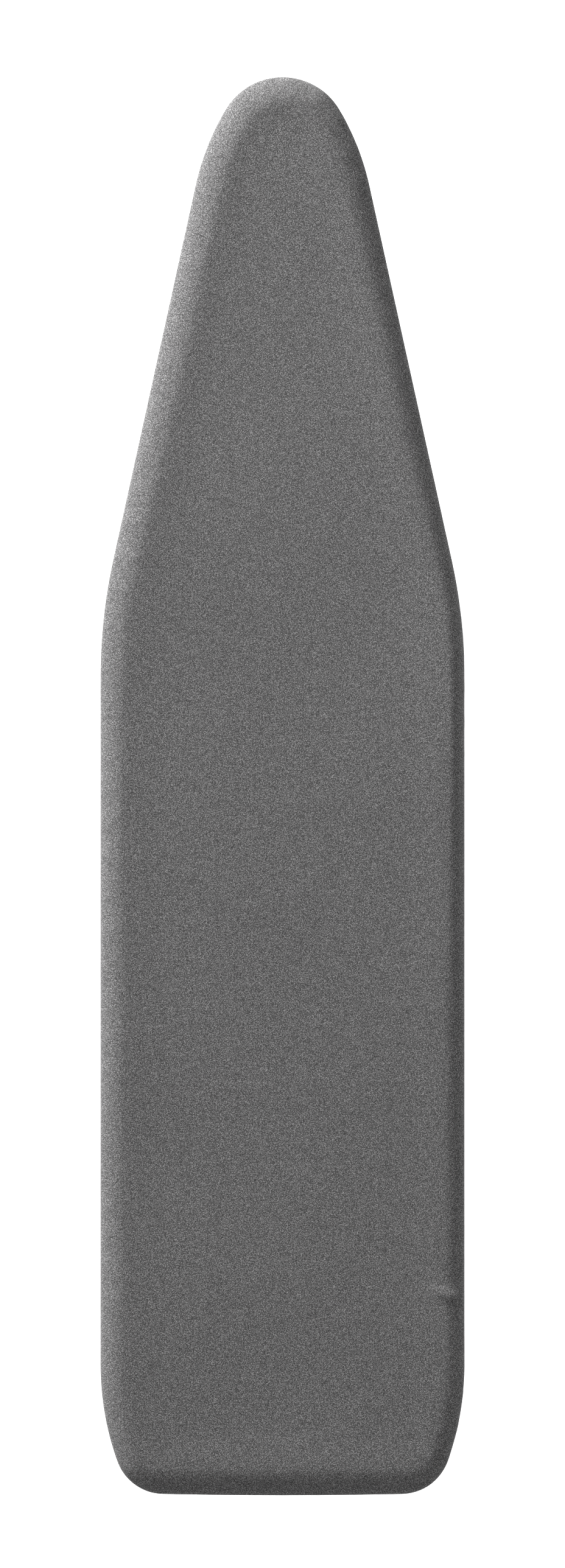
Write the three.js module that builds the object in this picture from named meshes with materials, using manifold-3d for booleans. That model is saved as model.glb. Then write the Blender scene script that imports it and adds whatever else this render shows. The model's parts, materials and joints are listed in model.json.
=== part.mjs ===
// A folding ironing board on a pair of crossed T-shaped legs.
// Units are millimetres. +Z is up and +Y points to the nose. The origin is on the
// floor, under the middle of the board. The legs stand open at full height.
import * as THREE from "three";
import { mergeVertices } from "three/addons/utils/BufferGeometryUtils.js";
import Module from "manifold-3d";

const wasm = await Module();
wasm.setup();
const rad = THREE.MathUtils.degToRad;

// ---- Driving dimensions ----

// outline of the covered board, seen from above
const boardLength = 1372;
const boardWidth = 352;
const noseRadius = 64;
const noseTurn = rad(59.3);
const noseFlankRadius = 250;
const taperAngle = rad(12.4);
const shoulderRadius = 520;
const tailFlankRadius = 274;
const tailFlankTurn = rad(19.8);
const tailCornerRadius = 48;
const tailEndTurn = rad(1.2);

// gaps
const clearance = 0.3; // between pieces that touch
const softGap = 0.6; // between the cover and the pad
const runningGap = 0.4; // round a pin that turns or slides
const sideGap = 0.6; // beside a plate that swings

// height and layers, from the top down
const boardHeight = 915;
const coverThickness = 1.2;
const padThickness = 8;
const deckThickness = 1;
const edgeRoll = 24; // how far in from the side the top starts to round over
const edgeDrop = 4; // the widest place is this far below the deck
const underRoll = 11; // how far in the cover reaches before it lies flat underneath
const hemCornerRadius = 12; // of the hem's inner edge, at the tail corners
const elasticWidth = 7;

// deck sheet and its rim channel
const rimInset = 8; // rim's outer face, in from the cover's outside
const rimWidth = 12;
const rimDepth = 20;
const rimGauge = 1;
const rimChamfer = 3;
const ventFlats = 36; // six-sided vents
const ventPitch = 54;
const ventMargin = 26;

// cross braces
const braceWidth = 30;
const braceGauge = 3;

// leg geometry
const pivotInset = 186; // fixed pivot, in from the tail end
const foldGap = 4.7; // from the hem to the feet, folded
const footReach = 120; // how much longer a leg is below the crossing than above it
const railNoseInset = 116; // nose end of the rail, back from the nose tip
const railNoseMargin = 90; // rail beyond the slide rod's folded place
const railTailMargin = 24; // rail behind the slide rod's open place

// tubes
const outerTubeRadius = 11;
const innerTubeRadius = 14;
const tubeWall = 1;
const outerTubeSpacing = 88; // between the centres of the twin tubes
const tubeSides = 16;
const pinSides = 12;
const footSides = 20;

// feet
const footBarRadius = 12.5;
const footSpan = 330; // over the caps
const footCapWall = 4.7;
const footCapLength = 26;
const footCapEnd = 9;
const soleThickness = 2.7; // of the cap, under the foot bar

// rail, slide rod and its head
const railGap = 36; // between the rail's walls
const railGauge = 2;
const railFoot = 12; // rail below the slide line
const rodRadius = 5;
const endCapWall = 2.7; // push-on caps of the slide rod and the lock shaft
const endCapLength = 4;
const endCapEnd = 1;
const headWall = 6.7; // of the eye round the slide rod
const headCollar = 4; // from the eye to the inner tube
const headNeck = 50;

// pins and rivets
const pivotPinRadius = 4;
const pivotHeadRadius = 7;
const pinHead = 2.5;
const rivetRadius = 3;
const rivetHeadRadius = 6;
const axleRadius = 4;
const axleHeadRadius = 7.5;
const axleHead = 5;
const washerRadius = 10;
const washerGauge = 1.5;
const spacerRadius = 7.5;
const axleEnd = 3; // thread showing beyond the nut

// pivot brackets
const bracketGauge = 2.5;
const bracketLength = 30;
const bracketEarRadius = 13;
const bracketGap = 1;

// height lock
const stripGauge = 3;
const stripDepth = 15;
const stripEarRadius = 8;
const stripPivotRadius = 9;
const stripPivotInset = 20; // lock pivot, back from the rail's nose end
const notchGap = 0.6; // round the slide rod
const notchDepth = 2.2;
const notchPitch = 24;
const notchFreeEnd = 60; // no notches this close to the rod's folded place
const shaftRadius = 4;
const shaftRise = 22; // lock shaft above the slide line
const shaftLead = 20; // lock shaft behind the rail
const shaftDrop = 24; // bend down to the grip
const shaftBend = 12;
const shaftDropGap = 9; // from the outer tube to the bend
const gripLead = 23; // straight shaft before the grip
const gripWidth = 26;
const gripCore = 5;
const gripBevel = 4;
const gripEdgeInset = 11; // grip's end, in from the board's edge
const springRadius = 6;
const springWire = 1;
const springTurns = 4.5;
const springSeatSize = 20;
const springSeatGauge = 1.5;

// ---- Worked-out places ----

const halfWidth = boardWidth / 2;
// The top of the cover, above the deck's underside.
const topZ = deckThickness + clearance + padThickness + softGap + coverThickness;
const deckUnder = boardHeight - topZ;
const rimTop = -clearance;
const rimBottom = rimTop - rimDepth;
const hemBottom = rimBottom - clearance - coverThickness;
const footCapRadius = footBarRadius + clearance + footCapWall;
const soleHeight = footBarRadius + clearance + soleThickness; // foot bar's axis above the floor
const pivotDrop = footCapRadius + foldGap - hemBottom; // pivot and slide line, below the deck
const pivotZ = deckUnder - pivotDrop;
const pivotY = -boardLength / 2 + pivotInset;
const upperArm = (boardLength - pivotInset - railNoseInset - railNoseMargin) / 2;
const lowerArm = upperArm + footReach;
const legLength = upperArm + lowerArm;
const legAngle = Math.asin((pivotZ - soleHeight) / legLength);
const crossY = pivotY + upperArm * Math.cos(legAngle);
const crossZ = pivotZ - upperArm * Math.sin(legAngle);
const slideY = pivotY + 2 * upperArm * Math.cos(legAngle);
const slideFoldedY = pivotY + 2 * upperArm;
const railTail = slideY - railTailMargin;
const railNose = slideFoldedY + railNoseMargin;
const slideZ = -pivotDrop; // in the board's own group, where the deck's underside is z = 0
const outerTubeX = outerTubeSpacing / 2;
const headRadius = rodRadius + clearance + headWall;
const notchRadius = rodRadius + notchGap;
const railHalf = railGap / 2 + railGauge;
const stripX = railHalf + sideGap;
const stripOuterX = stripX + stripGauge;
const stripLow = slideZ + rodRadius + clearance;
const stripMid = stripLow + stripDepth / 2;
const lockPivotY = railNose - stripPivotInset;
const lockShaftY = railTail - shaftLead;
const lockShaftZ = slideZ + shaftRise;
const braceTop = rimTop - rimGauge - clearance;
const braceBottom = braceTop - braceGauge;
const webTop = braceBottom - clearance;
const hemInset = tailCornerRadius - hemCornerRadius;
const footHalf = footSpan / 2;
const footBarHalf = footHalf - footCapEnd - clearance;

// ---- Outline ----

// Points of the board's outline, clockwise from the nose tip as seen from above,
// moved inwards by inset. Every round stretch keeps its centre, so all insets match.
function outline(inset = 0) {
  const noseFlankTurn = Math.PI / 2 - taperAngle - noseTurn;
  const cornerTurn = Math.PI / 2 - tailFlankTurn - tailEndTurn;
  const across = (radius, from, turn) => radius * (Math.sin(from + turn) - Math.sin(from));
  const taperStart = noseTurn + noseFlankTurn;
  const reached =
    across(noseRadius, 0, noseTurn) +
    across(noseFlankRadius, noseTurn, noseFlankTurn) +
    across(shoulderRadius, taperStart, taperAngle);
  const taperRun = (halfWidth - reached) / Math.cos(taperStart);
  const right = Math.PI / 2;
  const cornerStart = right + tailFlankTurn;
  const endStart = cornerStart + cornerTurn;
  const backAcross =
    across(tailFlankRadius, right, tailFlankTurn) +
    across(tailCornerRadius, cornerStart, cornerTurn);
  const endRadius = (halfWidth + backAcross) / -across(1, endStart, tailEndTurn);

  const tail = [
    { radius: tailFlankRadius, turn: tailFlankTurn, steps: 4 },
    { radius: tailCornerRadius, turn: cornerTurn, steps: 7 },
    { radius: endRadius, turn: tailEndTurn, steps: 1 },
  ];
  const front = [
    { radius: noseRadius, turn: noseTurn, steps: 6 },
    { radius: noseFlankRadius, turn: noseFlankTurn, steps: 3 },
    { run: taperRun },
    { radius: shoulderRadius, turn: taperAngle, steps: 3 },
  ];
  const downOf = (pieces, from) => {
    let heading = from;
    let down = 0;
    for (const piece of pieces) {
      if (piece.run !== undefined) {
        down += piece.run * Math.sin(heading);
      } else {
        down += piece.radius * (Math.cos(heading) - Math.cos(heading + piece.turn));
        heading += piece.turn;
      }
    }
    return down;
  };
  const sideRun = boardLength - downOf(front, 0) - downOf(tail, right);

  let x = 0;
  let y = boardLength / 2;
  let heading = 0;
  const half = [[0, y - inset]];
  const place = () => half.push([x - inset * Math.sin(heading), y - inset * Math.cos(heading)]);
  for (const piece of [...front, { run: sideRun }, ...tail]) {
    if (piece.run !== undefined) {
      x += piece.run * Math.cos(heading);
      y -= piece.run * Math.sin(heading);
      place();
      continue;
    }
    for (let i = 0; i < piece.steps; i++) {
      const turn = piece.turn / piece.steps;
      x += across(piece.radius, heading, turn);
      y -= piece.radius * (Math.cos(heading) - Math.cos(heading + turn));
      heading += turn;
      place();
    }
  }
  half[half.length - 1][0] = 0;
  const left = half.slice(1, -1).reverse().map(([px, py]) => [-px, py]);
  return [...half, ...left];
}

// Half of the outline's width at a place along the board.
function halfWidthAt(y, inset) {
  const points = outline(inset);
  let widest = 0;
  points.forEach(([x0, y0], i) => {
    const [x1, y1] = points[(i + 1) % points.length];
    if ((y0 - y) * (y1 - y) > 0 || y0 === y1) return;
    widest = Math.max(widest, x0 + ((x1 - x0) * (y - y0)) / (y1 - y0));
  });
  return widest;
}

// ---- Shape helpers ----

const axes = {
  x: [new THREE.Vector3(0, 1, 0), new THREE.Vector3(0, 0, 1), new THREE.Vector3(1, 0, 0)],
  y: [new THREE.Vector3(0, 0, 1), new THREE.Vector3(1, 0, 0), new THREE.Vector3(0, 1, 0)],
  z: [new THREE.Vector3(1, 0, 0), new THREE.Vector3(0, 1, 0), new THREE.Vector3(0, 0, 1)],
};

// A shape drawn in the plane across the axis, extruded from one place to another on it.
// Across x the shape's own x and y are Y and Z, across y they are Z and X, across z X and Y.
function extrude(shape, axis, from, to, curveSegments = tubeSides / 2) {
  const options = { depth: to - from, bevelEnabled: false, curveSegments };
  const turn = new THREE.Matrix4().makeBasis(...axes[axis]);
  return new THREE.ExtrudeGeometry(shape, options).translate(0, 0, from).applyMatrix4(turn);
}

function circle(radius, x = 0, y = 0) {
  return new THREE.Shape().absarc(x, y, radius, 0, 2 * Math.PI, false);
}

function rectangle(x0, y0, x1, y1) {
  const corners = [[x0, y0], [x1, y0], [x1, y1], [x0, y1]];
  return new THREE.Shape(corners.map(([x, y]) => new THREE.Vector2(x, y)));
}

function box(x0, x1, y0, y1, z0, z1) {
  const middle = [(x0 + x1) / 2, (y0 + y1) / 2, (z0 + z1) / 2];
  return new THREE.BoxGeometry(x1 - x0, y1 - y0, z1 - z0).translate(...middle);
}

// A round bar along an axis, through the given place on the other two.
function bar(axis, radius, from, to, at = [0, 0], sides = tubeSides) {
  const turn = new THREE.Matrix4().makeBasis(...axes[axis]);
  return new THREE.CylinderGeometry(radius, radius, to - from, sides)
    .rotateX(Math.PI / 2)
    .translate(at[0], at[1], (from + to) / 2)
    .applyMatrix4(turn);
}

function pipe(axis, radius, bore, from, to, at = [0, 0], sides = tubeSides) {
  const shape = circle(radius, at[0], at[1]);
  shape.holes.push(circle(bore, at[0], at[1]));
  return extrude(shape, axis, from, to, sides / 2);
}

function toSolid(geometry) {
  const plain = new THREE.BufferGeometry().setAttribute("position", geometry.attributes.position);
  if (geometry.index) plain.setIndex(geometry.index);
  const merged = mergeVertices(plain, 1e-3);
  const whole = [];
  const index = merged.index.array;
  for (let i = 0; i < index.length; i += 3) {
    const [a, b, c] = [index[i], index[i + 1], index[i + 2]];
    if (a !== b && b !== c && a !== c) whole.push(a, b, c);
  }
  return new wasm.Manifold(
    new wasm.Mesh({
      numProp: 3,
      vertProperties: new Float32Array(merged.attributes.position.array),
      triVerts: new Uint32Array(whole),
    }),
  );
}

function toGeometry(solid) {
  const mesh = solid.getMesh();
  const geometry = new THREE.BufferGeometry();
  geometry.setAttribute("position", new THREE.BufferAttribute(mesh.vertProperties, 3));
  geometry.setIndex(new THREE.BufferAttribute(mesh.triVerts, 1));
  geometry.computeVertexNormals();
  return geometry;
}

function join(...geometries) {
  return toGeometry(geometries.map(toSolid).reduce((whole, next) => whole.add(next)));
}

function cut(geometry, ...tools) {
  return toGeometry(tools.map(toSolid).reduce((left, tool) => left.subtract(tool), toSolid(geometry)));
}

// A turned piece: a profile of [radius, place] points from the axis back to the axis.
function turned(axis, profile, at = [0, 0], sides = pinSides) {
  const points = profile.map(([radius, place]) => new THREE.Vector2(radius, place));
  const turn = new THREE.Matrix4().makeBasis(...axes[axis]);
  const lathe = new THREE.LatheGeometry(points, sides).rotateX(Math.PI / 2);
  return toGeometry(toSolid(lathe.translate(at[0], at[1], 0).applyMatrix4(turn)));
}

// A pin with a low domed head at each end.
function pinWithHeads(axis, radius, headRadius, from, to, at) {
  const crown = headRadius * 0.6;
  const profile = [
    [0, from - pinHead],
    [crown, from - pinHead],
    [headRadius, from - pinHead / 2],
    [headRadius, from],
    [radius, from],
    [radius, to],
    [headRadius, to],
    [headRadius, to + pinHead / 2],
    [crown, to + pinHead],
    [0, to + pinHead],
  ];
  return turned(axis, profile, at);
}

// A solid swept round the board. Each section point is [inset, z], going down the
// outside first. A capped sweep is closed with flat faces on its first and last rings,
// and any other joins its last ring to its first.
function sweepRoundBoard(section, capped) {
  const rings = section.map(([inset, z]) => outline(inset).map(([x, y]) => [x, y, z]));
  const count = rings[0].length;
  const at = (ring, k) => ring * count + (k % count);
  const triangles = [];
  const last = capped ? rings.length - 1 : rings.length;
  for (let ring = 0; ring < last; ring++) {
    const next = (ring + 1) % rings.length;
    for (let k = 0; k < count; k++) {
      triangles.push(at(ring, k), at(ring, k + 1), at(next, k + 1));
      triangles.push(at(ring, k), at(next, k + 1), at(next, k));
    }
  }
  if (capped) {
    const flat = rings[0].map(([x, y]) => new THREE.Vector2(x, y));
    for (const [a, b, c] of THREE.ShapeUtils.triangulateShape(flat, [])) {
      const up = THREE.ShapeUtils.area([flat[a], flat[b], flat[c]]) > 0;
      const [first, second] = up ? [b, c] : [c, b];
      triangles.push(a, first, second);
      triangles.push(at(rings.length - 1, a), at(rings.length - 1, second), at(rings.length - 1, first));
    }
  }
  const geometry = new THREE.BufferGeometry();
  const points = new Float32Array(rings.flat(2));
  geometry.setAttribute("position", new THREE.BufferAttribute(points, 3));
  geometry.setIndex(triangles);
  geometry.computeVertexNormals();
  return geometry;
}

// ---- Materials ----

const material = (color, roughness, metalness) =>
  new THREE.MeshStandardMaterial({ color, roughness, metalness });
const looks = {
  cover: () => material(0x686767, 0.85, 0),
  felt: () => material(0xb9b6ae, 0.95, 0),
  elastic: () => material(0x3a3a3c, 0.9, 0),
  paint: () => material(0xa9adb0, 0.45, 0.5),
  steel: () => material(0xc4c6c8, 0.3, 1),
  plastic: () => material(0x1c1c1e, 0.55, 0),
  nylon: () => material(0x2a2a2c, 0.45, 0),
};

function add(group, name, geometry, look) {
  const mesh = new THREE.Mesh(geometry, looks[look]());
  mesh.name = name;
  group.add(mesh);
}

// ---- Soft top ----

const widestZ = -edgeDrop;

// Points of the board's rounded edge, from the flat top down to a height.
function upperEdge(depth, lowest = widestZ) {
  const steps = 5;
  const rise = topZ - widestZ - depth;
  const last = Math.acos((lowest - widestZ) / rise);
  return Array.from({ length: steps + 1 }, (_, i) => {
    const turn = (last * i) / steps;
    return [edgeRoll - (edgeRoll - depth) * Math.sin(turn), widestZ + rise * Math.cos(turn)];
  });
}

// Points from just under the widest place down to the flat hem.
function lowerEdge(depth) {
  const steps = 3;
  const fall = widestZ - hemBottom - depth;
  return Array.from({ length: steps }, (_, i) => {
    const turn = ((i + 1) / steps) * (Math.PI / 2);
    return [underRoll - (underRoll - depth) * Math.cos(turn), widestZ - fall * Math.sin(turn)];
  });
}

function coverGeometry() {
  const outside = [...upperEdge(0), ...lowerEdge(0)];
  const inside = [...upperEdge(coverThickness), ...lowerEdge(coverThickness)].reverse();
  const hem = [[hemInset, hemBottom], [hemInset, hemBottom + coverThickness]];
  return sweepRoundBoard([...outside, ...hem, ...inside], true);
}

function padGeometry() {
  return sweepRoundBoard(upperEdge(coverThickness + softGap, deckThickness + clearance), true);
}

function elasticGeometry() {
  const outer = hemInset + clearance;
  const inner = outer + elasticWidth;
  const [low, high] = [hemBottom, hemBottom + coverThickness];
  return sweepRoundBoard([[outer, high], [outer, low], [inner, low], [inner, high]], false);
}

// ---- Deck, rim and braces ----

function deckGeometry() {
  const edge = outline(rimInset).map(([x, y]) => new THREE.Vector2(x, y));
  const shape = new THREE.Shape(edge.reverse());
  const ventRadius = ventFlats / Math.sqrt(3);
  const rowPitch = ventPitch * Math.sqrt(0.75);
  const rows = Math.floor((boardLength / 2 - ventMargin) / rowPitch);
  for (let row = -rows; row <= rows; row++) {
    const y = row * rowPitch;
    const reach = Math.min(
      halfWidthAt(y - ventRadius, ventMargin),
      halfWidthAt(y + ventRadius, ventMargin),
    );
    const shift = row % 2 ? ventPitch / 2 : 0;
    const most = Math.ceil(halfWidth / ventPitch);
    for (let column = -most; column <= most; column++) {
      const x = column * ventPitch + shift;
      if (Math.abs(x) + ventFlats / 2 > reach) continue;
      const vent = new THREE.Path();
      for (let corner = 0; corner < 6; corner++) {
        const turn = rad(60 * corner + 30);
        const point = [x + ventRadius * Math.cos(turn), y + ventRadius * Math.sin(turn)];
        if (corner) vent.lineTo(...point);
        else vent.moveTo(...point);
      }
      vent.closePath();
      shape.holes.push(vent);
    }
  }
  return extrude(shape, "z", 0, deckThickness);
}

// A channel open towards the middle of the board.
function rimGeometry() {
  const outer = rimInset;
  const inner = rimInset + rimWidth;
  const wall = rimGauge;
  const innerChamfer = rimChamfer - wall * Math.tan(Math.PI / 8);
  return sweepRoundBoard(
    [
      [inner, rimTop],
      [outer, rimTop],
      [outer, rimBottom + rimChamfer],
      [outer + rimChamfer, rimBottom],
      [inner, rimBottom],
      [inner, rimBottom + wall],
      [outer + wall + innerChamfer, rimBottom + wall],
      [outer + wall, rimBottom + wall + innerChamfer],
      [outer + wall, rimTop - wall],
      [inner, rimTop - wall],
    ],
    false,
  );
}

// A flat bar across the board, its ends inside the rim channel.
function braceGeometry(y, rivetXs) {
  const inset = rimInset + rimGauge + clearance;
  const reach = Math.min(halfWidthAt(y - braceWidth / 2, inset), halfWidthAt(y + braceWidth / 2, inset));
  const plate = box(-reach, reach, y - braceWidth / 2, y + braceWidth / 2, braceBottom, braceTop);
  const holes = rivetXs.map((x) => rivetHole(x, y));
  return cut(plate, ...holes);
}

function rivetHole(x, y) {
  return bar("z", rivetRadius + clearance, webTop - braceWidth, braceTop + 1, [x, y]);
}

// A rivet from below, through a sheet under a brace, and flush with the brace's top.
function rivetGeometry(x, y, sheetGauge) {
  const under = webTop - sheetGauge - clearance;
  const profile = [
    [0, under - pinHead],
    [rivetHeadRadius * 0.6, under - pinHead],
    [rivetHeadRadius, under - pinHead / 2],
    [rivetHeadRadius, under],
    [rivetRadius, under],
    [rivetRadius, braceTop],
    [0, braceTop],
  ];
  return turned("z", profile, [x, y]);
}

// ---- Rail ----

function railGeometry(rivetYs) {
  const half = railGap / 2;
  const bottom = slideZ - railFoot;
  const section = new THREE.Shape(
    [
      [bottom, -railHalf],
      [webTop, -railHalf],
      [webTop, railHalf],
      [bottom, railHalf],
      [bottom, half],
      [webTop - railGauge, half],
      [webTop - railGauge, -half],
      [bottom, -half],
    ].map(([z, x]) => new THREE.Vector2(z, x)).reverse(),
  );
  const channel = extrude(section, "y", railTail, railNose);
  const slotRadius = rodRadius + runningGap;
  const slot = new THREE.Shape();
  slot.absarc(slideY, slideZ, slotRadius, Math.PI / 2, 1.5 * Math.PI, false);
  slot.absarc(slideFoldedY, slideZ, slotRadius, -Math.PI / 2, Math.PI / 2, false);
  const reach = railHalf + 1;
  return cut(
    channel,
    extrude(slot, "x", -reach, reach, 4),
    bar("x", rivetRadius + clearance, -reach, reach, [lockPivotY, stripMid]),
    ...rivetYs.map((y) => bar("z", rivetRadius + clearance, webTop - railGauge - 1, webTop + 1, [0, y])),
  );
}

// ---- Pivot brackets ----

// An upside-down U over one outer tube, with rounded ears.
function bracketGeometry(side) {
  const centre = side * outerTubeX;
  const inner = outerTubeRadius + bracketGap;
  const outer = inner + bracketGauge;
  const half = bracketLength / 2;
  const profile = new THREE.Shape();
  profile.moveTo(pivotY + half, webTop);
  profile.lineTo(pivotY - half, webTop);
  profile.lineTo(pivotY - bracketEarRadius, slideZ);
  profile.absarc(pivotY, slideZ, bracketEarRadius, Math.PI, 2 * Math.PI, false);
  profile.closePath();
  const block = extrude(profile, "x", centre - outer, centre + outer, 5);
  const mouth = box(
    centre - inner,
    centre + inner,
    pivotY - half - 1,
    pivotY + half + 1,
    slideZ - 2 * bracketEarRadius,
    webTop - bracketGauge,
  );
  return cut(
    block,
    mouth,
    bar("x", pivotPinRadius + clearance, centre - outer - 1, centre + outer + 1, [pivotY, slideZ]),
    bar("z", rivetRadius + clearance, webTop - bracketGauge - 1, webTop + 1, [centre, pivotY]),
  );
}

function pivotPinGeometry(side) {
  const outer = outerTubeRadius + bracketGap + bracketGauge + clearance;
  const centre = side * outerTubeX;
  const at = [pivotY, slideZ];
  return pinWithHeads("x", pivotPinRadius, pivotHeadRadius, centre - outer, centre + outer, at);
}

// ---- Height lock ----

function stripGeometry(side) {
  const [from, to] = side > 0 ? [stripX, stripOuterX] : [-stripOuterX, -stripX];
  const outline = rectangle(lockShaftY, stripLow, lockPivotY, stripLow + stripDepth);
  const plate = extrude(outline, "x", from, to);
  const ear = bar("x", stripEarRadius, from, to, [lockShaftY, lockShaftZ]);
  const eye = bar("x", stripPivotRadius, from, to, [lockPivotY, stripMid]);
  const notches = [];
  const notchZ = stripLow + notchDepth - notchRadius;
  for (let y = slideY; y < slideFoldedY - notchFreeEnd; y += notchPitch) {
    notches.push(bar("x", notchRadius, from - 1, to + 1, [y, notchZ], 12));
  }
  return cut(
    join(plate, ear, eye),
    bar("x", shaftRadius + clearance, from - 1, to + 1, [lockShaftY, lockShaftZ]),
    bar("x", rivetRadius + runningGap, from - 1, to + 1, [lockPivotY, stripMid]),
    ...notches,
  );
}

function lockPivotGeometry() {
  const reach = stripOuterX + sideGap;
  return pinWithHeads("x", rivetRadius, rivetHeadRadius, -reach, reach, [lockPivotY, stripMid]);
}

const shaftDropX = outerTubeX + outerTubeRadius + shaftDropGap;
const gripEndX = halfWidth - gripEdgeInset;
const gripStartX = shaftDropX + 1.5 * shaftBend + gripLead;
const shaftEndX = gripEndX - gripBevel - 2 * clearance;
const gripZ = lockShaftZ - shaftDrop;
const shaftCapX = stripOuterX + clearance;

// A wire that crosses both strips, bends down past the leg and runs out to the grip.
function shaftGeometry() {
  const half = shaftBend / 2;
  const point = (x, z) => new THREE.Vector3(x, lockShaftY, z);
  const start = -(shaftCapX + endCapLength - endCapEnd - clearance);
  const slope = shaftDropX + shaftBend;
  const path = new THREE.CurvePath();
  path.add(new THREE.LineCurve3(point(start, lockShaftZ), point(shaftDropX - half, lockShaftZ)));
  path.add(
    new THREE.CubicBezierCurve3(
      point(shaftDropX - half, lockShaftZ),
      point(shaftDropX + half, lockShaftZ),
      point(slope - half, gripZ),
      point(slope + half, gripZ),
    ),
  );
  path.add(new THREE.LineCurve3(point(slope + half, gripZ), point(shaftEndX, gripZ)));
  const options = { steps: 32, extrudePath: path, bevelEnabled: false, curveSegments: 5 };
  return new THREE.ExtrudeGeometry(circle(shaftRadius), options);
}

function gripGeometry() {
  const half = gripWidth / 2;
  const [x0, x1] = [gripStartX + gripBevel, gripEndX - gripBevel];
  const [y0, y1] = [lockShaftY - half + gripBevel, lockShaftY + half - gripBevel];
  const corner = 5;
  const shape = new THREE.Shape();
  shape.absarc(x1 - corner, y1 - corner, corner, 0, Math.PI / 2, false);
  shape.absarc(x0 + corner, y1 - corner, corner, Math.PI / 2, Math.PI, false);
  shape.absarc(x0 + corner, y0 + corner, corner, Math.PI, 1.5 * Math.PI, false);
  shape.absarc(x1 - corner, y0 + corner, corner, 1.5 * Math.PI, 2 * Math.PI, false);
  const body = new THREE.ExtrudeGeometry(shape, {
    depth: gripCore,
    bevelThickness: gripBevel,
    bevelSize: gripBevel,
    bevelSegments: 2,
    curveSegments: 2,
  }).translate(0, 0, gripZ - gripCore / 2);
  const at = [lockShaftY, gripZ];
  return cut(body, bar("x", shaftRadius + clearance, gripStartX - 1, shaftEndX + clearance, at));
}

// A push-on cap over the end of a bar along X, open towards the middle.
function endCapGeometry(side, start, barRadius, at) {
  const end = start + endCapLength;
  const bore = barRadius + clearance;
  const radius = bore + endCapWall;
  const profile = [
    [0, end],
    [radius - 1.5, end],
    [radius, end - 1.5],
    [radius, start],
    [bore, start],
    [bore, end - endCapEnd],
    [0, end - endCapEnd],
  ];
  const placed = profile.map(([r, x]) => [r, side * x]);
  return turned("x", side > 0 ? placed.reverse() : placed, at);
}

const springX = (stripOuterX + shaftDropX - shaftBend / 2) / 2;
const springSeatBottom = -clearance - springSeatGauge;

// A coil between the seat under the deck and the top of the lock shaft.
function springGeometry() {
  const high = springSeatBottom - clearance - springWire / 2;
  const low = lockShaftZ + shaftRadius + clearance + springWire / 2;
  const coilRadius = springRadius - springWire / 2;
  class Coil extends THREE.Curve {
    getPoint(t) {
      const turn = 2 * Math.PI * springTurns * t;
      const x = springX + coilRadius * Math.cos(turn);
      const y = lockShaftY + coilRadius * Math.sin(turn);
      return new THREE.Vector3(x, y, low + (high - low) * t);
    }
  }
  const options = { steps: Math.round(springTurns * 10), extrudePath: new Coil(), bevelEnabled: false };
  return new THREE.ExtrudeGeometry(circle(springWire / 2), { ...options, curveSegments: 3 });
}

function springSeatGeometry() {
  const half = springSeatSize / 2;
  const [y0, y1] = [lockShaftY - half, lockShaftY + half];
  return box(springX - half, springX + half, y0, y1, springSeatBottom, -clearance);
}

// ---- Legs ----

// A tube along the leg, its lower end cut to sit on the foot bar.
function legTube(x, radius, from, to, holes) {
  const tube = pipe("y", radius, radius - tubeWall, from, to, [0, x]);
  const [x0, x1] = [x - 2 * radius, x + 2 * radius];
  const saddle = bar("x", footBarRadius + clearance, x0, x1, [to, 0], footSides);
  const drilled = holes.map(({ place, size }) => bar("x", size, x0, x1, [place, 0]));
  return cut(tube, saddle, ...drilled);
}

function outerTubeGeometry(side) {
  return legTube(side * outerTubeX, outerTubeRadius, -outerTubeRadius - 3, legLength, [
    { place: 0, size: pivotPinRadius + runningGap },
    { place: upperArm, size: axleRadius + clearance },
  ]);
}

// A plastic plug with a rounded cap, in the top of an outer tube.
function tubePlugGeometry(side) {
  const start = -outerTubeRadius - 3 - clearance;
  const bore = outerTubeRadius - tubeWall - clearance;
  const profile = [
    [0, start - 4],
    [outerTubeRadius * 0.6, start - 3.5],
    [outerTubeRadius, start - 1],
    [outerTubeRadius, start],
    [bore, start],
    [bore, start + 8],
    [0, start + 8],
  ];
  return turned("y", profile, [0, side * outerTubeX], tubeSides);
}

function innerTubeGeometry() {
  return legTube(0, innerTubeRadius, -upperArm + headRadius + headCollar + clearance, lowerArm, [
    { place: 0, size: axleRadius + runningGap },
  ]);
}

// The block at the top of the inner leg: an eye on the slide rod and a neck in the tube.
function headGeometry() {
  const eyeHalf = railGap / 2 - sideGap;
  const neckRadius = innerTubeRadius - tubeWall - clearance;
  const collar = -upperArm + headRadius + headCollar;
  return cut(
    join(
      bar("x", headRadius, -eyeHalf, eyeHalf, [-upperArm, 0]),
      bar("y", innerTubeRadius, -upperArm, collar),
      bar("y", neckRadius, -upperArm, -upperArm + headNeck),
    ),
    bar("x", rodRadius + clearance, -railGap, railGap, [-upperArm, 0]),
  );
}

const rodCapX = stripOuterX + sideGap;

function slideRodGeometry() {
  const end = rodCapX + endCapLength - endCapEnd - clearance;
  return bar("x", rodRadius, -end, end, [-upperArm, 0]);
}

function footBarGeometry(place) {
  const bore = footBarRadius - tubeWall;
  return pipe("x", footBarRadius, bore, -footBarHalf, footBarHalf, [place, 0], footSides);
}

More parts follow.
